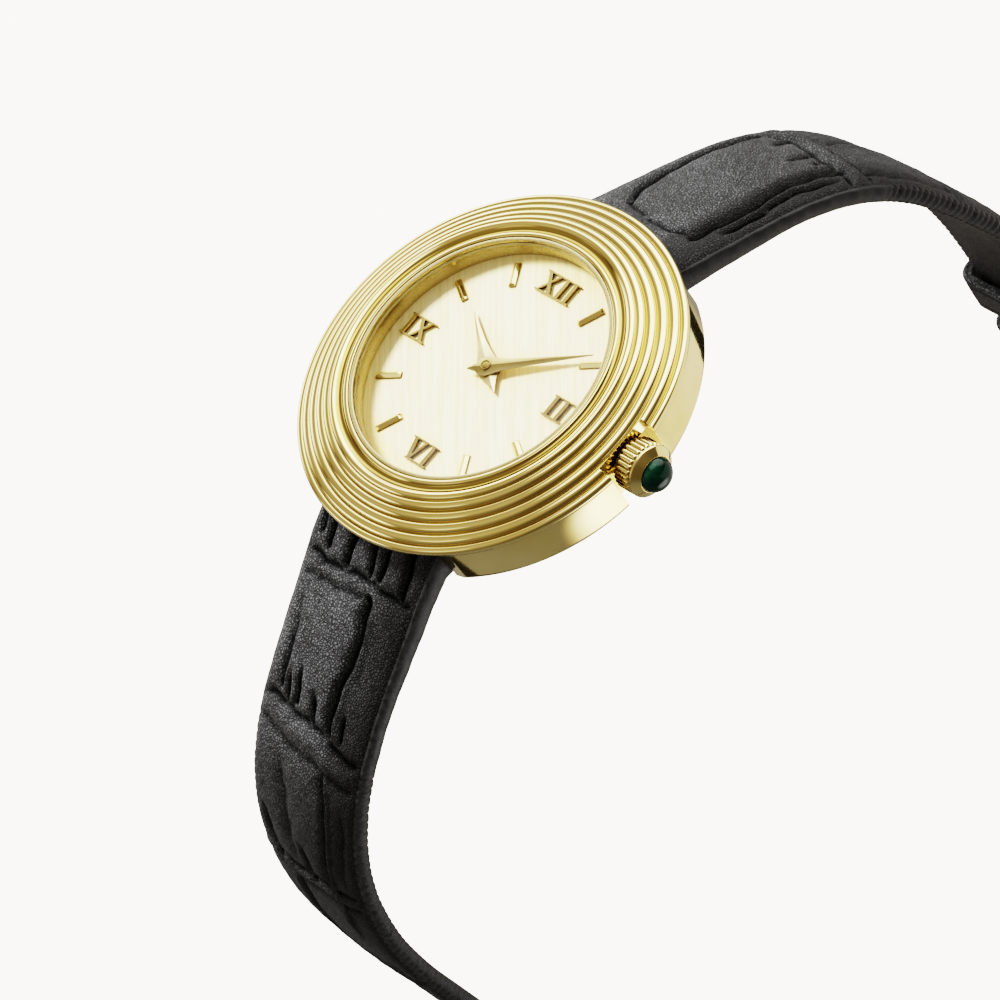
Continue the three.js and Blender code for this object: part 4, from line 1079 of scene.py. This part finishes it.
def scale_relief(x, along, valleys, welts):
    # slow wander so no line is ruled
    wander_x = x + 0.09 * np.sin(along * 0.9 + 1.3) + 0.05 * np.sin(along * 2.3 + x * 0.7)
    wander_y = along + 0.12 * np.sin(x * 1.1 + 0.4) + 0.06 * np.sin(x * 2.9 + along * 0.5)
    down = np.zeros_like(x)
    up = np.zeros_like(x)
    gap = np.full_like(x, 1e9)
    for depth, width, fade, points in valleys:
        distance, share = nearest(wander_x, wander_y, points)
        strength = taper(share, fade)
        down = np.maximum(down, depth * strength * np.exp(-(distance / width) ** 2))
        gap = np.minimum(gap, distance + (1 - strength) * 1.2)
    for height, width, fade, points in welts:
        distance, share = nearest(wander_x, wander_y, points)
        up = np.maximum(up, height * taper(share, fade) * np.exp(-(distance / width) ** 2))
    puff = 1 - np.exp(-np.clip(gap, 0, 6) / 0.8)
    return -down + up + 0.17 * puff


EDGE_ROLL = 0.40  # outermost part of each side, taken by the turned edge
EDGE_DROP = 0.10  # top of the turned edge below the strap's top line
TOP_COLUMNS, EDGE_COLUMNS, LINING_COLUMNS = 76, 8, 13


def top_surface(along, width, padding, relief_share, valleys, welts, holes):
    """grids of x and of height over the top line"""
    columns = np.linspace(-1, 1, TOP_COLUMNS)
    columns = np.sign(columns) * (np.abs(columns) ** 0.86)
    across, y = np.meshgrid(columns, along)
    half = width[:, None]
    x = across * (half - EDGE_ROLL)
    relief = scale_relief(x, y, valleys, welts)
    from_edge = half - np.abs(x)
    inner = np.clip((from_edge - EDGE_ROLL) / (half - EDGE_ROLL), 0, 1)
    height = padding[:, None] * (1 - (1 - inner) ** 2.6)
    edge_fade = np.clip((from_edge - EDGE_ROLL) / 0.9, 0, 1) ** 0.8
    fade = edge_fade * np.clip((y + 0.2) / 1.0, 0, 1)
    height = height + relief * fade * relief_share[:, None]
    # crease beside the turned edge
    height -= 0.13 * np.exp(-((from_edge - EDGE_ROLL - 0.02) / 0.22) ** 2)
    # soft leather unevenness
    height += 0.024 * np.sin(y * 1.7 + 2 * np.sin(x * 0.9)) * np.sin(x * 1.3 + 0.6) * fade
    height += 0.012 * np.sin(y * 4.1 + x * 2.2) * np.sin(x * 3.7 - y * 1.1) * fade
    for hole in holes:  # pressed ring round each hole
        height -= 0.10 * np.exp(-((np.hypot(x, y - hole) - 1.05) / 0.2) ** 2)
    return x, height


def turned_edge(along, half, thickness, nicks_from):
    """(x, height) down the +X side, with slanted nicks from nicks_from on"""
    half_height = (thickness - EDGE_DROP) / 2
    wave = 0.035 * math.sin(along * 1.9) + 0.02 * math.sin(along * 4.3 + 1)
    points = []
    for k in range(EDGE_COLUMNS):
        angle = math.radians(66 - 140 * k / 7)
        nick = 0.0
        if along >= nicks_from:
            phase = ((along + 0.6 * (k / 7)) / 0.8) % 1.0
            nick = (0.20 * math.exp(-((phase - 0.5) / 0.17) ** 2)
                    * min(1.0, (along - nicks_from) / 1.0))
        x = half - EDGE_ROLL - 0.03 + (EDGE_ROLL + wave) * math.cos(angle)
        points.append((x - nick, -EDGE_DROP - half_height + half_height * math.sin(angle)))
    return points


def fold_round(row, centre, direction, radius, share):
    """ring of the strap turned about a bar by a share of a right angle"""
    angle = math.pi / 2 * share
    out = []
    for x, y, z in row:
        spoke = np.array([y, z]) - centre
        shift = np.array(direction) * radius * math.sin(angle)
        out.append((x * (1 - 0.02 * share * share),
                    *(centre + spoke * math.cos(angle) + shift)))
    return out


def strap_mesh(name, sign, curve, half_width, thickness, padding, relief_share, relief,
               nicks_from, holes=(), loop_end=False):
    """one strap half; sign is +1 toward 12 o'clock and -1 toward 6"""
    path, along, tangents = curve
    normals = np.stack([-tangents[:, 1], tangents[:, 0]], 1)
    thick = interp(along, thickness)
    top_x, top_height = top_surface(along, half_width, interp(along, padding),
                                    interp(along, relief_share), *relief, holes)
    body = []
    for i, (origin, normal) in enumerate(zip(path, normals)):
        right = turned_edge(along[i], half_width[i], thick[i], nicks_from)
        under = []
        for k in range(LINING_COLUMNS):
            t = 1 - 2 * (k + 0.5) / LINING_COLUMNS
            under.append((t * (half_width[i] - 0.36), -thick[i] - 0.02 * (1 - t * t)))
        left = [(-x, e) for x, e in right[::-1]]
        ring = list(zip(top_x[i], top_height[i])) + right + under + left
        body.append([(x, sign * (origin[0] + normal[0] * e), origin[1] + normal[1] * e)
                     for x, e in ring])
    folds = (0.17, 0.34, 0.52, 0.7, 0.85, 0.97)
    case_bar = np.array((sign * SPRING_BAR_Y, SPRING_BAR_Z))
    rows = [fold_round(body[0], case_bar, (-sign, 0), 1.15, share) for share in folds[::-1]]
    rows += body
    if loop_end:
        buckle_bar = np.array((sign * BUCKLE_Y, BUCKLE_Z))
        rows += [fold_round(body[-1], buckle_bar, (0, -1), 1.05, share) for share in folds]
    # material of each column of faces: 0 leather, 1 edge paint, 2 lining
    columns = ([0] * (TOP_COLUMNS - 1) + [1] * (EDGE_COLUMNS + 1) + [2] * (LINING_COLUMNS - 1)
               + [1] * (EDGE_COLUMNS + 1))
    strap = new_object(name, [point for row in rows for point in row],
                       tube_faces(len(rows), len(columns)), [LEATHER, EDGE_PAINT, LINING],
                       face_materials=columns * (len(rows) - 1) + [1, 1], split=True)
    shade(strap, 60)
    return strap


def build_strap_12():
    valleys, welts = list(VALLEYS_12), list(WELTS_12)
    add_rows(valleys, welts, ROWS_12, seed=3, flip=1)
    curve = smooth_path(PATH_12)
    strap = strap_mesh("strap_12_leather", 1, curve, interp(curve[1], WIDTH_12), THICKNESS_12,
                       PADDING_12, RELIEF_SHARE_12, (valleys, welts), nicks_from=24.0,
                       loop_end=True)
    cut_strap(strap, [
        cross_rod(STRAP_HOLE_RADIUS, SPRING_BAR_Y, SPRING_BAR_Z, 8),
        cross_rod(BUCKLE_HOLE_RADIUS, BUCKLE_Y, BUCKLE_Z, 8),
        # slot for the tang
        box_cutter(-0.85, 0.85, BUCKLE_Y - 3, BUCKLE_Y + 3, BUCKLE_Z - 3.4, BUCKLE_Z + 2.2)])
    assign(strap, "strap_12_half", "strap_leather", "strap_12")


def build_strap_6():
    valleys, welts = list(VALLEYS_6), list(WELTS_6)
    add_rows(valleys, welts, ROWS_6, seed=5, flip=0)
    path, along, tangents = curve = smooth_path(PATH_6)
    nose = np.clip((along - NOSE_START) / NOSE_LENGTH, 0, 0.995)
    half_width = np.where(along > NOSE_START, 5.0 * (1 - nose ** 2.3) ** 0.62,
                          interp(along, WIDTH_6))
    strap = strap_mesh("strap_6_leather", -1, curve, half_width, THICKNESS_6, PADDING_6,
                       RELIEF_SHARE_6, (valleys, welts), nicks_from=18.8, holes=HOLES)
    cutters = [cross_rod(STRAP_HOLE_RADIUS, -SPRING_BAR_Y, SPRING_BAR_Z, 8)]
    for hole in HOLES:
        k = int(np.argmin(abs(along - hole)))
        y, z = path[k]
        normal_y, normal_z = -tangents[k][1], tangents[k][0]
        above = (0, -(y + normal_y * 1.5), z + normal_z * 1.5)
        below = (0, -(y - normal_y * 3.5), z - normal_z * 3.5)
        cutters.append(rod_cutter(0.62, above, below, sides=28))
    cut_strap(strap, cutters)
    assign(strap, "strap_6_half", "strap_leather", "strap_6")


build_strap_12()
build_strap_6()


# ------------------------------------------------------------------ keepers
def build_keeper(name, cad_node, body):
    """leather loop with turned, creased edges, sized by its CAD node"""
    low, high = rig.box(cad_node)
    bottom, top = low.z * 1000 - DIAL_TOP_Z, high.z * 1000 - DIAL_TOP_Z
    y0, y1 = low.y * 1000, high.y * 1000
    middle_z, half_z = (bottom + top) / 2, (top - bottom) / 2
    thickness, corner = 0.78, 1.15
    # half sizes of the loop's centre line, a rounded rectangle
    half_x, half_y = high.x * 1000 - thickness / 2, (y1 - y0) / 2 - thickness / 2
    middle_y = (y0 + y1) / 2
    stations = []  # (x, y, outward x, outward y)

    def arc(side_x, side_y, start):
        for k in range(11):
            angle = math.radians(start + 90 * k / 10)
            x, y = math.cos(angle), math.sin(angle)
            stations.append((side_x * (half_x - corner) + corner * x,
                             middle_y + side_y * half_y - side_y * corner + corner * y, x, y))

    def straight(side):
        for f in np.linspace(0.08, 0.92, 12):
            stations.append((side * (half_x - corner) * (1 - 2 * f), middle_y + side * half_y,
                             0, side))

    arc(1, 1, 0)
    straight(1)
    arc(-1, 1, 90)
    arc(-1, -1, 180)
    straight(-1)
    arc(1, -1, 270)

    def rim(side, degrees):
        return (thickness / 2 - 0.24 + 0.18 * math.cos(math.radians(90 - degrees)),
                side * (half_z - 0.17 + 0.17 * math.cos(math.radians(degrees))))

    # section (outward, along Z): outer face with a crease near each edge, rim, inner face, rim
    section = []
    for f in np.linspace(-1, 1, 25):
        z = f * (half_z - 0.16)
        crease = 0.07 * math.exp(-((abs(z) - (half_z - 0.72)) / 0.13) ** 2)
        section.append((thickness / 2 - crease + 0.03 * (1 - f * f), z))
    section += [rim(1, degrees) for degrees in np.linspace(60, -60, 5)]
    section += [(-thickness / 2, f * (half_z - 0.16)) for f in np.linspace(1, -1, 9)]
    section += [rim(-1, degrees) for degrees in np.linspace(-60, 60, 5)]
    verts = [(x + out_x * e, y + out_y * e, middle_z + z)
             for x, y, out_x, out_y in stations for e, z in section]
    keeper = make(name, verts, tube_faces(len(stations), len(section), closed=True), LEATHER,
                  smooth=60)
    assign(keeper, body, "strap_leather", cad_node)


build_keeper("keeper_sewn_loop", "keeper_fixed", "strap_12_half")
build_keeper("keeper_loose_loop", "keeper_free", "loose_keeper")

# ------------------------------------------------------------------ buckle
# Frame line, heights from the bar
FRAME_HALF_WIDTH, FRAME_BOTTOM, FRAME_TOP, FRAME_CORNER = 6.3, -8.75, 1.05, 2.2
# (section scale, height over FRAME_TOP) of the rounded ends above the bar
FRAME_END = [(0.25, 0.42), (0.62, 0.38), (0.85, 0.26), (0.97, 0.1), (1.0, -0.1)]
# (outward, along Y, corner radius)
FRAME_SECTION = [(-0.58, -0.80, 0.25), (0.58, -0.80, 0.25), (0.60, 0.30, 0.3), (0.30, 0.80, 0.3),
                 (-0.34, 0.80, 0.25), (-0.60, 0.42, 0.25)]


def build_buckle_frame():
    """U-shaped frame with a softened section, swept from the -X end to the +X end"""
    stations = []  # (x, z, outward x, outward z, section scale)
    upper, lower = FRAME_TOP - 0.6, FRAME_BOTTOM + FRAME_CORNER + 0.2

    def leg_end(side, ends):
        for scale, height in ends:
            stations.append((side * FRAME_HALF_WIDTH, FRAME_TOP + height, side, 0, scale))

    def leg(side, start, end):
        for z in np.linspace(start, end, 10):
            stations.append((side * FRAME_HALF_WIDTH, z, side, 0, 1.0))

    def corner(side, start):
        for degrees in np.linspace(start, start + 90, 12):
            x, z = math.cos(math.radians(degrees)), math.sin(math.radians(degrees))
            stations.append((side * (FRAME_HALF_WIDTH - FRAME_CORNER) + FRAME_CORNER * x,
                             FRAME_BOTTOM + FRAME_CORNER + FRAME_CORNER * z, x, z, 1.0))

    leg_end(-1, FRAME_END)
    leg(-1, upper, lower)
    corner(-1, 180)
    reach = FRAME_HALF_WIDTH - FRAME_CORNER - 0.4
    stations += [(x, FRAME_BOTTOM, 0, -1, 1.0) for x in np.linspace(-reach, reach, 10)]
    corner(1, 270)
    leg(1, lower, upper)
    leg_end(1, FRAME_END[::-1])

    section = fillet(FRAME_SECTION, steps=4)
    verts = [(x + out_x * out * scale, BUCKLE_Y - 0.07 + y * scale,
              BUCKLE_Z + z + out_z * out * scale)
             for x, z, out_x, out_z, scale in stations for out, y in section]
    obj = make("buckle_frame_swept", verts, tube_faces(len(stations), len(section)), GOLD_BUCKLE,
               smooth=50)
    boolean(obj, [cross_rod(0.54, BUCKLE_Y, BUCKLE_Z, 6.56)], smooth=50)
    assign(obj, "buckle", "gold", "buckle_frame")


# (radius, x, corner radius)
HUB_PROFILE = [(BUCKLE_HOLE_RADIUS, -0.70, 0.03), (0.95, -0.70, 0.12), (0.95, 0.70, 0.12),
               (BUCKLE_HOLE_RADIUS, 0.70, 0.03)]


def build_tang():
    """tongue hanging from a hub on the bar; it narrows and bends inward at the tip"""
    stations = np.linspace(-0.15, 9.3, 48)  # distance below the bar
    verts = []
    for down in stations:
        half = 0.70 - 0.16 * max(0, down - 1) / 8.3
        if down > 8.9:
            half *= math.sqrt(max(0.06, 1 - ((down - 8.9) / 0.42) ** 2))
        outer = 1.15
        if down < 0.5:
            outer = 1.0 + 0.15 * min(1, max(0, (down + 0.15) / 0.65))
        inner = 0.80 if down > 1.1 else 0.3
        bend = 0.10 * max(0, (down - 8.3)) ** 1.5
        section = [(-half, inner + 0.08), (-half + 0.08, inner), (half - 0.08, inner),
                   (half, inner + 0.08), (half, outer - 0.14), (half - 0.05, outer - 0.05),
                   (half - 0.14, outer), (-half + 0.14, outer), (-half + 0.05, outer - 0.05),
                   (-half, outer - 0.14)]
        verts += [(x, BUCKLE_Y + y - bend, BUCKLE_Z - down) for x, y in section]
    obj = make("tang_tongue", verts, tube_faces(len(stations), 10), GOLD_BUCKLE, smooth=40)
    hub = lathe("tang_hub", fillet(HUB_PROFILE, steps=3), GOLD_BUCKLE, 48,
                axis_yz=(BUCKLE_Y, BUCKLE_Z))
    boolean(obj, [hub], "UNION", smooth=40)
    boolean(obj, [cross_rod(BUCKLE_HOLE_RADIUS, BUCKLE_Y, BUCKLE_Z, 2)], smooth=40)
    assign(obj, "tang", "gold", "buckle_tang")


build_buckle_frame()
build_tang()

# ------------------------------------------------------------------ CAD nodes that stay
NUMERALS = ["numeral_xii", "numeral_iii", "numeral_vi", "numeral_ix"]
BARS = ["buckle_bar", "spring_bar_12", "spring_bar_6"]
KEPT_NODES = {
    GOLD_TRIM: NUMERALS,
    STEEL: BARS + ["stem", "clutch_wheel", "setting_lever", "crown_tube", "battery_clamp",
                   "bridge_screw_1", "bridge_screw_2", "stator", "rotor", "cannon_pinion",
                   "quartz_can", "battery"],
    BRASS: ["main_plate", "train_bridge", "center_wheel", "hour_wheel", "minute_wheel",
            "third_wheel", "intermediate_wheel"],
    RUBBER: ["case_back_gasket", "crown_gasket"],
    NYLON: ["crystal_gasket"],
    HOLDER: ["movement_ring"],
    BOARD: ["circuit_board"],
    CHIP: ["ic_chip"],
    COPPER: ["coil"],
}
for material, names in KEPT_NODES.items():
    for name in names:
        slots = frame["nodes"][name].data.materials
        slots.clear()
        slots.append(material)
for names, width_mm in ((NUMERALS, 0.05), (BARS, 0.06)):
    for name in names:
        bevel = frame["nodes"][name].modifiers.new("soft", "BEVEL")
        bevel.width = width_mm / 1000.0
        bevel.segments = 2
        bevel.limit_method = "ANGLE"
        bevel.angle_limit = math.radians(50)


# ------------------------------------------------------------------ studio
def floor_material():
    """even pale glow to the camera; reflections see pools of light instead"""
    material, graph = new_material("floor_pale")
    position = graph.position()
    # pool on the +X side, then a broader one on the -X side
    near_crown = graph.mapping(position, Location=(-0.093, 0.002, 0))
    flat = graph.vector("MULTIPLY", near_crown, (1.0, 1.0, 0))
    right = graph.remap(graph.length(flat), (0.0216, 0.060), to=(4.2, 0.04), smooth=True)
    far_left = graph.mapping(position, Location=(0.19, 0.042, 0))
    left = graph.remap(graph.length(far_left), (0.036, 0.13), to=(2.4, 0.0), smooth=True)
    # rise toward +Y and +X
    x, y, _ = graph.split(position)
    beyond = graph.math("MULTIPLY", graph.remap(y, (-0.007, 0.053)),
                        graph.remap(x, (-0.04, -0.004)))
    glow = graph.math("ADD", graph.math("ADD", right, left), beyond)
    ray = graph.node("LightPath").outputs
    indirect = graph.mix_value(ray["Is Glossy Ray"], 0.35, glow)
    tint = graph.ramp(graph.remap(glow, (0.05, 1.4)), [(0.0, WARM), (1.0, NEUTRAL)])
    graph.principled({
        "Base Color": (0.07, 0.0697, 0.069),
        "Roughness": 0.9,
        "Specular IOR Level": 0.05,
        "Emission Strength": graph.mix_value(ray["Is Camera Ray"], indirect, 3.85),
        "Emission Color": graph.mix(ray["Is Glossy Ray"], (1.0, 0.925, 0.80), tint),
    })
    return material


def build_floor():
    low, high = CAD_BOX
    floor_z = min(low[2], high[2]) - 0.0135  # the tail swings lower than it hangs at rest
    mesh = bpy.data.meshes.new("floor")
    corners = [(x, y, floor_z) for x, y in ((-3, -3), (3, -3), (3, 3), (-3, 3))]
    mesh.from_pydata(corners, [], [(0, 1, 2, 3)])
    floor = bpy.data.objects.new("studio_floor", mesh)
    bpy.context.scene.collection.objects.link(floor)
    mesh.materials.append(floor_material())
    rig.stage(floor)


# Lamps seen only in reflections: (direction, cosine where it starts, cosine where full, power)
ROOM_BASE = 0.12
ROOM_LAMPS = [
    ((-0.05, 0.85, 0.55), 0.76, 0.95, 4.2),  # tall panel behind, over 12 o'clock
    ((0.08, 0.25, 0.97), 0.90, 0.98, 3.2),  # small panel straight above
    ((-0.97, 0.15, 0.05), 0.82, 0.97, 3.4),  # strip at the 9 o'clock side
    ((-0.2, -0.85, 0.40), 0.45, 0.95, 0.16),  # weak fill over 6 o'clock
    ((-0.2, 0.1, 0.97), 0.2, 0.9, 0.34),  # wide fill from above
    ((-0.65, 0.62, 0.42), 0.88, 0.98, 1.7),  # soft panel between 9 and 12 o'clock
    ((-0.66, -0.74, 0.08), 0.93, 0.985, 2.4),  # low card toward half past seven
    ((-0.10, -0.76, 0.64), 0.974, 0.992, 0.7),  # thin card over 6 o'clock
    ((-0.74, 0.36, 0.52), 0.955, 0.99, 1.3),  # soft panel toward ten o'clock
]


def build_world():
    world = bpy.data.worlds.new("studio")
    bpy.context.scene.world = world
    world.use_nodes = True
    graph = Graph(world.node_tree, "OutputWorld")

    def background(colour, strength):
        return graph.node("Background", {0: colour, 1: strength})

    generated = graph.node("TexCoord").outputs["Generated"]
    base = graph.node("Value").outputs[0]
    base.default_value = ROOM_BASE
    power = base
    for direction, start, full, strength in ROOM_LAMPS:
        facing = graph.node("VectorMath", {0: generated, 1: Vector(direction).normalized()},
                            operation="DOT_PRODUCT").outputs["Value"]
        lamp = graph.remap(facing, (start, full), to=(0.0, strength), smooth=True)
        power = graph.math("ADD", power, lamp)
    # the dark parts of the room are warm, the lamps and panels neutral
    tint = graph.ramp(graph.remap(power, (0.15, 1.4)), [(0.0, WARM), (1.0, NEUTRAL)])
    ray = graph.node("LightPath").outputs
    lit = graph.mix_shader(ray["Is Glossy Ray"], background((1.0, 0.995, 0.985), 0.72),
                           background(tint, power))
    graph.surface(graph.mix_shader(ray["Is Camera Ray"], lit,
                                   background((1.0, 0.93, 0.81), 4.1)))


def build_key_light():
    """square lamp high on the -X side; the rim shades the dial"""
    light = bpy.data.lights.new("key", "AREA")
    light.energy = 15.0
    light.size = 0.15
    lamp = bpy.data.objects.new("key", light)
    bpy.context.scene.collection.objects.link(lamp)
    location, target = Vector((-0.384, 0.045, 0.47)), Vector((0, 0, 0.004))
    lamp.location = location
    lamp.rotation_euler = (target - location).to_track_quat("-Z", "Y").to_euler()
    lamp.visible_glossy = False


# ------------------------------------------------------------------ camera
CAMERA_DISTANCE = 0.400  # metres from the dial top
SENSOR_MM, LENS_MM = 36.0, 190.8
# shift of the aim off the dial centre, in mm on the sensor
AIM_RIGHT_MM, AIM_UP_MM = -0.36, 4.6512
VIEW_RIGHT = (0.654, 0.636, -0.411)
VIEW_UP = (-0.380, 0.745, 0.548)


def unit(vector):
    return vector / np.linalg.norm(vector)


def build_camera():
    # axes that face the dial centre; back points from the dial to the camera
    right = unit(np.array(VIEW_RIGHT))
    up = unit_up = np.array(VIEW_UP)
    up = unit(unit_up - right * (right @ unit_up))
    back = np.cross(right, up)
    # the same axes turned to the shifted aim
    aim_back = unit(back + AIM_RIGHT_MM / LENS_MM * right + AIM_UP_MM / LENS_MM * up)
    aim_right = unit(right - (right @ aim_back) * aim_back)
    aim_up = np.cross(aim_back, aim_right)
    data = bpy.data.cameras.new("camera")
    data.sensor_width = SENSOR_MM
    data.lens = LENS_MM
    data.clip_start = 0.01
    camera = bpy.data.objects.new("camera", data)
    bpy.context.scene.collection.objects.link(camera)
    location = np.array([0, 0, DIAL_TOP_Z / 1000.0]) + CAMERA_DISTANCE * back
    matrix = Matrix.Identity(4)
    for i in range(3):
        matrix[i] = (aim_right[i], aim_up[i], aim_back[i], location[i])
    camera.matrix_world = matrix
    bpy.context.scene.camera = camera


build_floor()
build_world()
build_key_light()
build_camera()
bpy.context.scene.view_settings.view_transform = "Filmic"
bpy.context.scene.view_settings.look = "High Contrast"

bpy.context.view_layer.update()
FINAL_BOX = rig.bounds()
# the folder may be missing or read-only; the model doesn't depend on this file
try:
    sizes = {"cad": [list(map(float, corner)) for corner in CAD_BOX],
             "visual": [list(map(float, corner)) for corner in FINAL_BOX]}
    json.dump(sizes, open("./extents.json", "w"))
except OSError:
    pass
